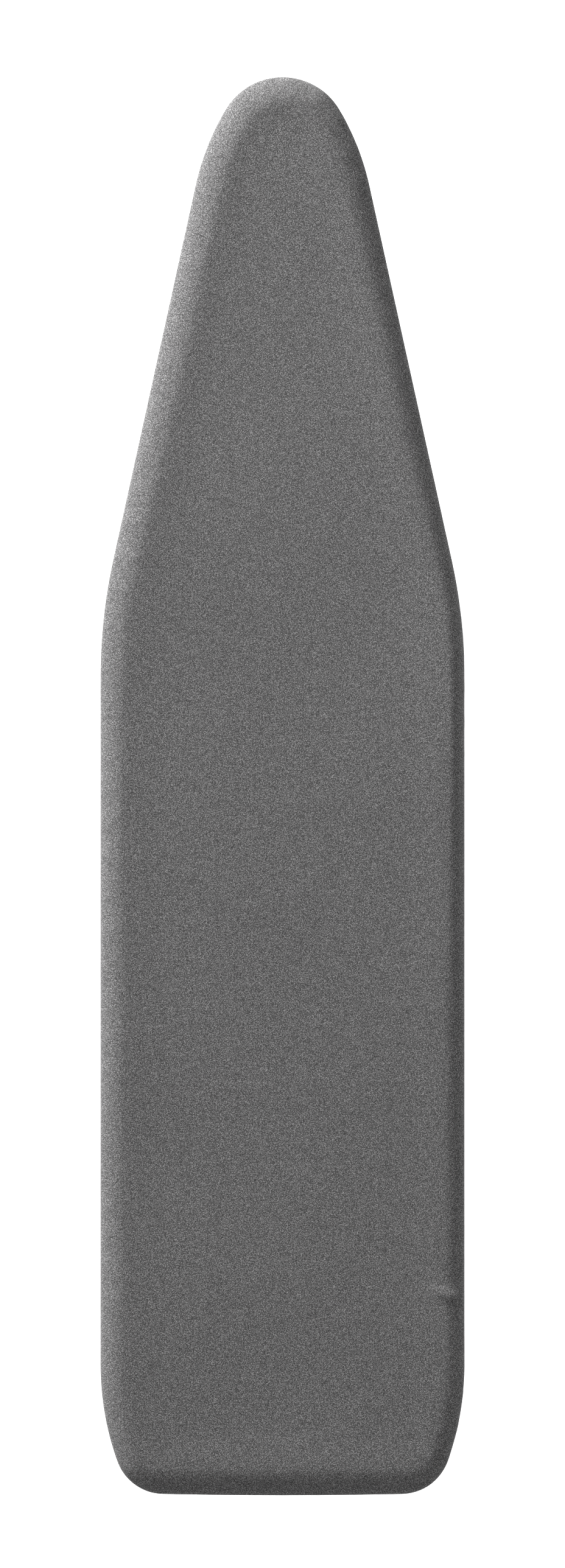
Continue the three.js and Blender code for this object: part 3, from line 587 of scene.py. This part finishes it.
# One thread that zigzags over the seam between the hem and the tape.
def makeStitching():
    middle = ringAt(cover["hem"] - elastic["overlap"] * 0.5)
    count = round(alongEdge[-1] / elastic["stitch"]) * 2
    curve = bpy.data.curves.new("hemStitching", "CURVE")
    curve.dimensions = "3D"
    curve.bevel_depth = elastic["threadRadius"]
    curve.bevel_resolution = 1
    spline = curve.splines.new("POLY")
    spline.points.add(count - 1)
    k = 0
    for i in range(count):
        target = alongEdge[-1] * i / count
        while alongEdge[k + 1] < target:
            k += 1
        share = (target - alongEdge[k]) / (alongEdge[k + 1] - alongEdge[k])
        x = middle[k][0] + (middle[k + 1][0] - middle[k][0]) * share
        y = middle[k][1] + (middle[k + 1][1] - middle[k][1]) * share
        turn = edgeWalk[k][2]
        side = elastic["swing"] * (1 if i % 2 else -1)
        z = coverBox.low.z - elastic["threadDrop"] + hemWave(target, 1.0)
        spline.points[i].co = (x + side * math.sin(turn), y + side * math.cos(turn), z, 1)
    spline.use_cyclic_u = True
    thread = bpy.data.objects.new("hemStitching", curve)
    bpy.context.scene.collection.objects.link(thread)
    return thread


hemElastic = fit(makeElastic(), "board", "elastic_tape", "hem_elastic")
hemStitching = fit(makeStitching(), "board", "elastic_tape")
noseRoll = [rollRing(1 - i / 20)[0] for i in range(21)]
rollLength = arcLength([(y, z) for _, y, z in noseRoll])
cutMargin = rollLength + arcLength([(0, cover["widest"])] + underSection()) - cover["roll"]
outlineArea(-cutMargin)
print("elastic ready")


pad = {
    "edge": 0.42, "under": 0.0019, "unevenness": 0.0004, "raggedScale": 120, "lowest": 0.0008,
    "ringSpacing": 0.016, "edgeSteps": 9,
}


def makePad():
    low = boxOf("pad").low.z
    crown = rollRing(1.0, pad["under"])
    inwards = ringsInwards(crown, pad["ringSpacing"])
    rings = [[(x, y, crown[0][2] - dishDepth(way)) for x, y, way in ring] for ring in inwards[::-1]]
    steps = pad["edgeSteps"]
    for i in range(steps + 1):
        ring = rollRing(1 - (1 - pad["edge"]) * i / steps, pad["under"])
        ragged = [pad["unevenness"] * noise.noise(Vector(point) * pad["raggedScale"]) * i / steps
                  for point in ring]
        rings.append([(x + out * math.sin(turn), y + out * math.cos(turn), max(z, low + pad["lowest"]))
                      for (x, y, z), out, (_, _, turn) in zip(ring, ragged, edgeWalk)])
    base = [(x, y, low) for x, y, _ in rings[-1]]
    rings.append(base)
    rings += [[(x, y, low) for x, y, _ in ring] for ring in ringsInwards(base, pad["ringSpacing"])]
    verts, faces = joinRings(rings)
    return newPiece("padFelt", verts, faces, 60)


padFelt = fit(makePad(), "board", "pad_felt", "pad")
print("pad ready")


rim = {"inset": 0.008, "width": 0.012, "gauge": 0.001, "chamfer": 0.003, "softEdge": 0.0004}


# A folded channel that runs right round the deck, open towards the inside.
def makeRim():
    box = boxOf("rim_channel")
    low, high = box.low, box.high
    outer, inner, wall, chamfer = rim["inset"], rim["inset"] + rim["width"], rim["gauge"], rim["chamfer"]
    innerChamfer = chamfer - wall * math.tan(math.pi / 8)
    section = [
        (inner, high.z), (outer, high.z), (outer, low.z + chamfer), (outer + chamfer, low.z),
        (inner, low.z), (inner, low.z + wall), (outer + wall + innerChamfer, low.z + wall),
        (outer + wall, low.z + wall + innerChamfer), (outer + wall, high.z - wall), (inner, high.z - wall),
    ]
    rings = [[(x, y, z) for x, y in ringAt(inset)] for inset, z in section]
    verts, faces = joinRings(rings, closed=True)
    return roundEdges(newPiece("rimChannel", verts, faces, 30), rim["softEdge"])


# The CAD shape with its edges broken, for pressed and flat parts.
def eased(node, name, width, angle=30):
    source = frame["nodes"][node]
    mesh = source.data.copy()
    mesh.name = name
    work = bmesh.new()
    work.from_mesh(mesh)
    bmesh.ops.remove_doubles(work, verts=work.verts, dist=1e-6)
    bmesh.ops.dissolve_limit(work, angle_limit=math.radians(0.5), verts=work.verts, edges=work.edges)
    work.to_mesh(mesh)
    work.free()
    mesh.polygons.foreach_set("use_smooth", [True] * len(mesh.polygons))
    mesh.set_sharp_from_angle(angle=math.radians(35))
    piece = bpy.data.objects.new(name, mesh)
    bpy.context.scene.collection.objects.link(piece)
    return roundEdges(piece, width, 2, angle)


fit(makeRim(), "board", "silver_paint", "rim_channel")
pressed = {  # each with its name and the width of its broken edges
    "deck_sheet": ("deckSheet", 0.0003), "tail_brace": ("tailBrace", 0.0007),
    "mid_brace": ("midBrace", 0.0007), "nose_brace": ("noseBrace", 0.0007),
    "slide_rail": ("slideRail", 0.0005),
    "pivot_bracket_left": ("pivotBracketLeft", 0.0006), "pivot_bracket_right": ("pivotBracketRight", 0.0006),
    "spring_seat": ("springSeat", 0.0004),
}
for node, (name, width) in pressed.items():
    fit(eased(node, name, width), "board", "silver_paint", node)
print("deck and rail ready")


pins = {  # each with its name and its shank's radius
    "pivot_pin_left": ("pivotPinLeft", 0.004), "pivot_pin_right": ("pivotPinRight", 0.004),
    "lock_pivot_pin": ("lockPivotPin", 0.003),
}
rivets = {
    "rail_rivet_tail": ("railRivetTail", 0.003), "rail_rivet_nose": ("railRivetNose", 0.003),
    "bracket_rivet_left": ("bracketRivetLeft", 0.003), "bracket_rivet_right": ("bracketRivetRight", 0.003),
}
headDepth = 0.0025


# Half of a low dome, from its rim to the axis, as [radius, height].
def dome(radius, height, steps=5):
    return [(max(radius * c, 1e-5), height * s) for c, s in arc(0, 90, steps)]


def makePin(node, name, shank):
    box = boxOf(node)
    neck = box.size.x / 2 - headDepth
    right = [(r, neck + h) for r, h in dome(box.size.y / 2, headDepth)]
    left = [(r, -x) for r, x in reversed(right)]
    return turned(name, left + [(shank, -neck), (shank, neck)] + right, Matrix.Translation(box.middle))


def makeRivet(node, name, shank):
    box = boxOf(node)
    neck = box.low.z + headDepth
    head = [(r, neck - h) for r, h in dome(box.size.x / 2, headDepth)]
    profile = head[::-1] + [(shank, neck), (shank, box.high.z)]
    return turned(name, profile, Matrix.Translation((box.middle.x, box.middle.y, 0)), "Z")


for node, (name, shank) in pins.items():
    fit(makePin(node, name, shank), "board", "bright_steel", node)
for node, (name, shank) in rivets.items():
    fit(makeRivet(node, name, shank), "board", "bright_steel", node)
print("pins and rivets ready")


lever = {
    "wireRadius": 0.004, "bend": 0.012, "dropX": 0.064, "bendSteps": 18,
    "ribs": 7, "ribHeight": 0.0006, "ribbedPart": (0.15, 0.85), "endRounding": 0.09, "endSize": 0.55,
    "squareness": (0.55, 0.7), "gripColumns": 44, "gripSides": 28,
    "springWire": 0.0005, "springTurns": 4.5, "springRadius": 0.006, "springSteps": 90,
}


def tubeAlong(name, points, radius, cyclic=False, sides=3):
    curve = bpy.data.curves.new(name, "CURVE")
    curve.dimensions = "3D"
    curve.bevel_depth = radius
    curve.bevel_resolution = sides
    curve.use_fill_caps = True
    spline = curve.splines.new("POLY")
    spline.points.add(len(points) - 1)
    for target, point in zip(spline.points, points):
        target.co = (*point, 1)
    spline.use_cyclic_u = cyclic
    spline.use_smooth = True
    wire = bpy.data.objects.new(name, curve)
    bpy.context.scene.collection.objects.link(wire)
    return wire


# An S-shaped step between two straight runs of the wire.
def makeLockShaft():
    box = boxOf("lock_shaft")
    radius, y = lever["wireRadius"], box.middle.y
    topZ, lowZ = box.high.z - radius, box.low.z + radius
    start = lever["dropX"] - lever["bend"] / 2
    end = lever["dropX"] + lever["bend"] * 1.5
    points = [(box.low.x, y, topZ), (start - radius, y, topZ)]
    for i in range(lever["bendSteps"] + 1):
        share = i / lever["bendSteps"]
        fall = share * share * (3 - 2 * share)
        points.append((start + (end - start) * share, y, topZ + (lowZ - topZ) * fall))
    points.append((box.high.x, y, lowZ))
    return tubeAlong("lockShaft", points, radius, sides=5)


# A flat moulded handle with finger ribs across it.
def makeGrip():
    box = boxOf("lever_grip")
    columns, around = lever["gripColumns"], lever["gripSides"]
    ribStart, ribEnd = lever["ribbedPart"]
    acrossPower, upPower = lever["squareness"]
    verts = []
    for i in range(columns + 1):
        share = i / columns
        ends = min(1.0, min(share, 1 - share) / lever["endRounding"])
        pinch = lever["endSize"] + (1 - lever["endSize"]) * math.sqrt(max(0.0, 1 - (1 - ends) ** 2))
        rib = 0.0
        if ribStart < share < ribEnd:
            rib = lever["ribHeight"] * math.cos(2 * math.pi * lever["ribs"] * share)
        for k in range(around):
            turn = 2 * math.pi * k / around
            c, s = math.cos(turn), math.sin(turn)
            y = box.size.y / 2 * pinch * math.copysign(abs(c) ** acrossPower, c)
            z = (box.size.z / 2 * pinch + rib) * math.copysign(abs(s) ** upPower, s)
            verts.append((box.low.x + box.size.x * share, box.middle.y + y, box.middle.z + z))
    faces = ringFaces(columns + 1, around)
    faces.append(tuple(reversed(range(around))))
    faces.append(tuple(range(columns * around, (columns + 1) * around)))
    return newPiece("leverGrip", verts, faces, 50)


def makeSpring():
    box = boxOf("lock_spring")
    wire = lever["springWire"]
    radius = lever["springRadius"] - wire
    points = []
    for i in range(lever["springSteps"] + 1):
        share = i / lever["springSteps"]
        turn = 2 * math.pi * lever["springTurns"] * share
        z = box.low.z + wire + (box.size.z - 2 * wire) * share
        points.append((box.middle.x + radius * math.cos(turn), box.middle.y + radius * math.sin(turn), z))
    return asMesh(tubeAlong("lockSpring", points, wire, sides=2))


def asMesh(wire):
    shape = bpy.data.meshes.new_from_object(wire)
    piece = bpy.data.objects.new(wire.name, shape)
    bpy.data.objects.remove(wire)
    bpy.context.scene.collection.objects.link(piece)
    return piece


# Gives the spring a mesh of its own; the coil keeps its shape.
def pressSpring(spring):
    box = boxOf("lock_spring")
    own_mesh(spring)


endCap = {"wall": 0.001, "rounding": 0.0015, "lip": 0.0003, "shaftBore": 0.0043, "rodBore": 0.0053}


# A push-on cap, closed and rounded at its outer end and open at the other.
def makeEndCap(node, name, bore, side, body):
    box = boxOf(node)
    radius, lip = box.size.y / 2, endCap["lip"]
    near, far = (box.low.x, box.high.x) if side > 0 else (box.high.x, box.low.x)
    step = (far - near) / box.size.x
    face = far - step * endCap["wall"]
    rounding = endCap["rounding"]
    profile = [(1e-5, far), (radius - rounding, far), (radius - 0.0008, far - step * rounding * 0.12),
               (radius - 0.0002, far - step * rounding * 0.5), (radius, far - step * rounding)]
    profile += [(radius, near + step * lip), (radius - lip, near), (bore, near), (bore, face), (1e-5, face)]
    shape = turned(name, profile, Matrix.Translation((0, box.middle.y, box.middle.z)))
    return fit(shape, body, "dark_plastic", node)


for side in ("left", "right"):
    strip = eased(f"lock_strip_{side}", f"lockStrip{side.title()}", 0.0004)
    fit(strip, "lock", "bright_steel", f"lock_strip_{side}")
fit(makeLockShaft(), "lock", "bright_steel", "lock_shaft")
fit(makeGrip(), "lock", "dark_plastic", "lever_grip")
makeEndCap("shaft_cap", "shaftCap", endCap["shaftBore"], -1, "lock")
lockSpring = fit(makeSpring(), "board", "bright_steel", "lock_spring")
pressSpring(lockSpring)
print("height lock ready")


legs = {
    "outerRadius": 0.011, "innerRadius": 0.014, "barRadius": 0.0125, "wall": 0.001, "softEdge": 0.0003,
    "outerTop": -0.014, "innerTop": 0.0163, "seatGap": 0.0002,
}
weld = {"radius": 0.0017, "ripple": 0.0022, "unevenness": 0.22, "standOff": 0.0004, "steps": 96}
footCap = {
    "soleDrop": 0.0155, "bottom": 0.009, "endRadius": 0.004, "lip": 0.001, "gap": 0.0003,
    "ribs": 5, "firstRib": 0.0035, "ribPitch": 0.0032,
    "ribDepth": 0.0006, "ribRise": 0.0004, "ribWidth": 0.0015,
}
plug = {"gap": 0.0003, "depth": 0.008, "collar": 0.0008, "dome": 0.0032}


def middleOf(node):
    return boxOf(node).middle


# A frame whose Y runs down the leg and whose X is the board's own.
def legMatrix(start, foot):
    down = Vector((0, foot.y - start.y, foot.z - start.z)).normalized()
    out = Vector((1, 0, 0)).cross(down)
    matrix = Matrix((
        (1, 0, 0, 0), (0, down.y, out.y, start.y), (0, down.z, out.z, start.z), (0, 0, 0, 1),
    ))
    return matrix, math.hypot(foot.y - start.y, foot.z - start.z)


foldPivot = Vector(joints["leg_fold"]["pos_m"])
crossing = Vector(joints["leg_cross"]["pos_m"])
outerFrame, outerLength = legMatrix(foldPivot, middleOf("outer_foot_bar"))
innerFrame, lowerLength = legMatrix(crossing, middleOf("inner_foot_bar"))


# A tube along the leg, its foot end shaped to sit on the foot bar.
def makeLegTube(name, x, radius, start, length, matrix):
    sides = 40
    bar, bore, soft = legs["barRadius"] + legs["seatGap"], radius - legs["wall"], legs["softEdge"]
    turns = [2 * math.pi * i / sides for i in range(sides)]
    verts = []
    for r, step in ((bore, 0), (radius - soft, 0), (radius, soft)):
        verts += [(x + r * math.cos(turn), start + step, r * math.sin(turn)) for turn in turns]
    for r in (radius, bore):
        for turn in turns:
            rise = math.sqrt(max(0.0, bar ** 2 - (r * math.sin(turn)) ** 2))
            verts.append((x + r * math.cos(turn), length - rise, r * math.sin(turn)))
    faces = ringFaces(len(verts) // sides, sides, closed=True)
    return newPiece(name, [matrix @ Vector(point) for point in verts], faces)


# The bead of weld round the joint, lumpy like a row of coins.
def makeWeld(name, x, radius, length, matrix):
    steps = weld["steps"]
    bar, r = legs["barRadius"], radius + weld["standOff"]
    ripples = round(2 * math.pi * radius / weld["ripple"])
    points = []
    for i in range(steps):
        turn = 2 * math.pi * i / steps
        reach = min(r * math.sin(turn), bar * 0.97)
        rise = math.sqrt(max(0.0, (bar + weld["standOff"]) ** 2 - reach ** 2))
        points.append(matrix @ Vector((x + r * math.cos(turn), length - rise, r * math.sin(turn))))
    bead = tubeAlong(name, points, weld["radius"], cyclic=True, sides=3)
    for i, point in enumerate(bead.data.splines[0].points):
        point.radius = 1 + weld["unevenness"] * math.cos(2 * math.pi * ripples * i / steps)
    return bead


# A hollow cylinder's section, its outer edges broken, as [radius, place along it].
def ringSection(outer, hole, half, edge):
    return [(hole, -half), (outer - edge, -half), (outer, -half + edge), (outer, half - edge),
            (outer - edge, half), (hole, half), (hole, -half)]


def makeFootBar(node, name):
    box = boxOf(node)
    outer = legs["barRadius"]
    profile = ringSection(outer, outer - legs["wall"], box.size.x / 2, legs["softEdge"])
    return turned(name, profile, Matrix.Translation(box.middle), sides=48)


# A ribbed cap over the foot bar's end, flat where it stands on the floor.
def makeFootCap(node, name, side):
    box = boxOf(node)
    radius, length = box.size.y / 2, box.size.x
    bore, bottom = legs["barRadius"] + footCap["gap"], length - footCap["bottom"]
    lip, groove, curve = footCap["lip"], radius - footCap["ribDepth"], footCap["endRadius"]
    profile = [(bore, bottom), (bore, 0), (radius - lip, 0), (radius, lip)]
    for i in range(footCap["ribs"]):
        start = footCap["firstRib"] + i * footCap["ribPitch"]
        end = start + footCap["ribWidth"]
        profile += [(radius, start), (groove, start + footCap["ribRise"]),
                    (groove, end - footCap["ribRise"]), (radius, end)]
    profile += [(radius - curve + curve * c, length - curve + curve * s) for c, s in arc(0, 90, 7)]
    profile += [(1e-5, length), (1e-5, bottom), (bore, bottom)]
    near = box.low.x if side > 0 else box.high.x
    placed = [(r, near + side * along) for r, along in profile]
    axis = Matrix.Translation((0, box.middle.y, box.low.z + footCap["soleDrop"]))
    piece = turned(name, placed, axis, sides=56)
    for vertex in piece.data.vertices:
        vertex.co.z = max(vertex.co.z, box.low.z)
    return piece


def makePlug(name, x):
    radius, start = legs["outerRadius"], legs["outerTop"] - plug["gap"]
    stem, collar = radius - legs["wall"] - plug["gap"], start - plug["collar"]
    profile = [(stem, start + plug["depth"]), (stem, start), (radius, start), (radius, collar)]
    profile += [(radius * c + 1e-5, collar - plug["dome"] * s) for c, s in arc(0, 90, 8)[1:]]
    return turned(name, profile, outerFrame @ Matrix.Translation((x, 0, 0)), "Y")


for side, sign in (("left", -1), ("right", 1)):
    word = side.title()
    x = middleOf(f"outer_tube_{side}").x
    tube = makeLegTube(f"outerTube{word}", x, legs["outerRadius"], legs["outerTop"], outerLength, outerFrame)
    fit(tube, "outer_leg", "silver_paint", f"outer_tube_{side}")
    outerWeld = makeWeld(f"outerWeld{word}", x, legs["outerRadius"], outerLength, outerFrame)
    fit(outerWeld, "outer_leg", "silver_paint")
    fit(makePlug(f"outerPlug{word}", x), "outer_leg", "dark_plastic", f"outer_tube_plug_{side}")
    for leg in ("outer", "inner"):
        cap = makeFootCap(f"{leg}_foot_cap_{side}", f"{leg}FootCap{word}", sign)
        fit(cap, f"{leg}_leg", "dark_plastic", f"{leg}_foot_cap_{side}")

innerTop = legs["innerTop"] - (crossing - foldPivot).length
innerTube = makeLegTube("innerTube", 0, legs["innerRadius"], innerTop, lowerLength, innerFrame)
fit(innerTube, "inner_leg", "silver_paint", "inner_tube")
fit(makeWeld("innerWeld", 0, legs["barRadius"], lowerLength, innerFrame), "inner_leg", "silver_paint")
fit(makeFootBar("outer_foot_bar", "outerFootBar"), "outer_leg", "silver_paint", "outer_foot_bar")
fit(makeFootBar("inner_foot_bar", "innerFootBar"), "inner_leg", "silver_paint", "inner_foot_bar")
print("legs ready")


fit(eased("slide_head", "slideHead", 0.0008, 40), "inner_leg", "dark_nylon", "slide_head")


def makeSlideRod(chamfer=0.0005):
    box = boxOf("slide_rod")
    radius, half = box.size.y / 2, box.size.x / 2
    profile = [(radius - chamfer, -half), (radius, -half + chamfer),
               (radius, half - chamfer), (radius - chamfer, half)]
    return turned("slideRod", profile, Matrix.Translation(box.middle))


fit(makeSlideRod(), "inner_leg", "bright_steel", "slide_rod")
makeEndCap("slide_rod_cap_left", "slideRodCapLeft", endCap["rodBore"], -1, "inner_leg")
makeEndCap("slide_rod_cap_right", "slideRodCapRight", endCap["rodBore"], 1, "inner_leg")
print("slide head ready")


bolt = {
    "radius": 0.004, "head": 0.005, "hexRadius": 0.0075, "hole": 0.0043, "sides": 24,
    "thread": 0.012, "pitch": 0.00125, "threadDepth": 0.0005, "nutEdge": 0.0004,
    "washerEdge": 0.0003, "spacerEdge": 0.0006,
}


# Six corners at each end. With a hole, each end is six faces that run to the hole's edge.
def hexBlock(radius, start, end, hole=0.0):
    corners = [(radius * c, radius * s) for c, s in arc(0, 300, 5)]
    verts = [(x, y, z) for x in (start, end) for y, z in corners]
    faces = ringFaces(2, 6)
    sides = bolt["sides"]
    if not hole:
        return verts, faces + [tuple(reversed(range(6))), tuple(range(6, 12))]
    for x in (start, end):
        verts += [(x, hole * math.cos(2 * math.pi * i / sides), hole * math.sin(2 * math.pi * i / sides))
                  for i in range(sides)]
    faces += [(12 + i, 12 + sides + i, 12 + sides + (i + 1) % sides, 12 + (i + 1) % sides)
              for i in range(sides)]
    per = sides // 6
    for layer in range(2):
        base, ring = layer * 6, 12 + layer * sides
        for i in range(6):
            fan = [ring + (i * per + k) % sides for k in range(per + 1)]
            faces.append((base + i, *fan, base + (i + 1) % 6))
    return verts, faces


def makeBolt():
    box = boxOf("cross_axle")
    verts, faces = hexBlock(bolt["hexRadius"], box.low.x, box.low.x + bolt["head"])
    radius, sides, pitch = bolt["radius"], bolt["sides"], bolt["pitch"]
    x = boxOf("cross_axle_nut").high.x - bolt["thread"]
    profile = [(radius, box.low.x + bolt["head"] - 0.0002), (radius, x)]
    while x < box.high.x - pitch:
        profile += [(radius, x + pitch * 0.2), (radius - bolt["threadDepth"], x + pitch * 0.7)]
        x += pitch
    profile += [(radius - 0.0002, box.high.x - 0.0006), (radius - 0.0008, box.high.x)]
    base = len(verts)
    for r, along in profile:
        verts += [(along, r * math.cos(2 * math.pi * i / sides), r * math.sin(2 * math.pi * i / sides))
                  for i in range(sides)]
    faces += [tuple(base + i for i in face) for face in ringFaces(len(profile), sides)]
    faces.append(tuple(base + i for i in reversed(range(sides))))
    faces.append(tuple(range(len(verts) - sides, len(verts))))
    placed = [(x, y + box.middle.y, z + box.middle.z) for x, y, z in verts]
    return newPiece("crossBolt", placed, faces, 25)


def makeNut():
    box = boxOf("cross_axle_nut")
    verts, faces = hexBlock(bolt["hexRadius"], box.low.x, box.high.x, bolt["hole"])
    placed = [(x, y + box.middle.y, z + box.middle.z) for x, y, z in verts]
    return roundEdges(newPiece("crossNut", placed, faces, 25), bolt["nutEdge"])


def makeRing(node, name, chamfer):
    box = boxOf(node)
    profile = ringSection(box.size.y / 2, bolt["hole"], box.size.x / 2, chamfer)
    return turned(name, profile, Matrix.Translation(box.middle))


fit(makeBolt(), "outer_leg", "bright_steel", "cross_axle")
fit(makeNut(), "outer_leg", "bright_steel", "cross_axle_nut")
for side in ("left", "right"):
    word = side.title()
    washer = makeRing(f"axle_washer_{side}", f"axleWasher{word}", bolt["washerEdge"])
    fit(washer, "outer_leg", "bright_steel", f"axle_washer_{side}")
    spacer = makeRing(f"axle_spacer_{side}", f"axleSpacer{word}", bolt["spacerEdge"])
    fit(spacer, "outer_leg", "dark_nylon", f"axle_spacer_{side}")
print("crossing ready")


studio = {
    "cameraHeight": 6.0, "frameHeight": 1.5168, "frameShift": 0.0021, "world": (0.44, 1.28),
    "keyPlace": (-2.92, 3.38, 1.87), "keyAim": (0, 0.15, 0.9), "keyPower": 845, "keySize": 1.4,
    "floorSize": 300, "floor": 0.8, "floorMottle": 0.985, "floorRoughness": 0.8,
    "floorGlow": 0.3,  # keeps the floor white where the key light fades
}


def makeFloor():
    bpy.ops.mesh.primitive_plane_add(size=studio["floorSize"], location=(0, 0, 0))
    floor = bpy.context.object
    floor.name = "paleFloor"
    material, tree, shader, coords = startMaterial("paleFloor")
    tone = studio["floor"]
    mottle = ramp(tree, noiseAt(tree, coords, 3, 2), [(0.3, tone * studio["floorMottle"]), (0.7, tone)])
    tree.links.new(mottle, shader.inputs["Base Color"])
    shader.inputs["Roughness"].default_value = studio["floorRoughness"]
    shader.inputs["Emission Color"].default_value = (1, 1, 1, 1)
    shader.inputs["Emission Strength"].default_value = studio["floorGlow"]
    floor.data.materials.append(material)


def makeLights():
    world = bpy.data.worlds.new("studioLight")
    bpy.context.scene.world = world
    world.use_nodes = True
    tree = world.node_tree
    direction = addNode(tree, "ShaderNodeTexCoord").outputs["Generated"]
    northward = addNode(tree, "ShaderNodeSeparateXYZ", {"Vector": direction}).outputs["Y"]
    dim, bright = studio["world"]
    inputs = {"Value": northward, "From Min": -1.0, "From Max": 1.0, "To Min": dim, "To Max": bright}
    strength = addNode(tree, "ShaderNodeMapRange", inputs).outputs["Result"]
    tree.links.new(strength, tree.nodes["Background"].inputs["Strength"])
    tree.nodes["Background"].inputs["Color"].default_value = (1, 1, 1, 1)
    light = bpy.data.lights.new("keyLight", "AREA")
    light.energy = studio["keyPower"]
    light.size = studio["keySize"]
    key = bpy.data.objects.new("keyLight", light)
    key.location = studio["keyPlace"]
    key.rotation_mode = "QUATERNION"
    key.rotation_quaternion = (Vector(studio["keyAim"]) - key.location).to_track_quat("-Z", "Y")
    bpy.context.scene.collection.objects.link(key)


def makeCamera():
    data = bpy.data.cameras.new("aboveBoard")
    data.sensor_width = 36
    camera = bpy.data.objects.new("aboveBoard", data)
    camera.location = (0, coverBox.middle.y + studio["frameShift"], coverBox.high.z + studio["cameraHeight"])
    distance = camera.location.z - cover["widest"]
    data.lens = data.sensor_width * distance / studio["frameHeight"]
    data.clip_end = studio["floorSize"]
    bpy.context.scene.collection.objects.link(camera)
    bpy.context.scene.camera = camera


makeFloor()
makeLights()
makeCamera()
bpy.context.scene.view_settings.view_transform = "Standard"
print("studio ready")
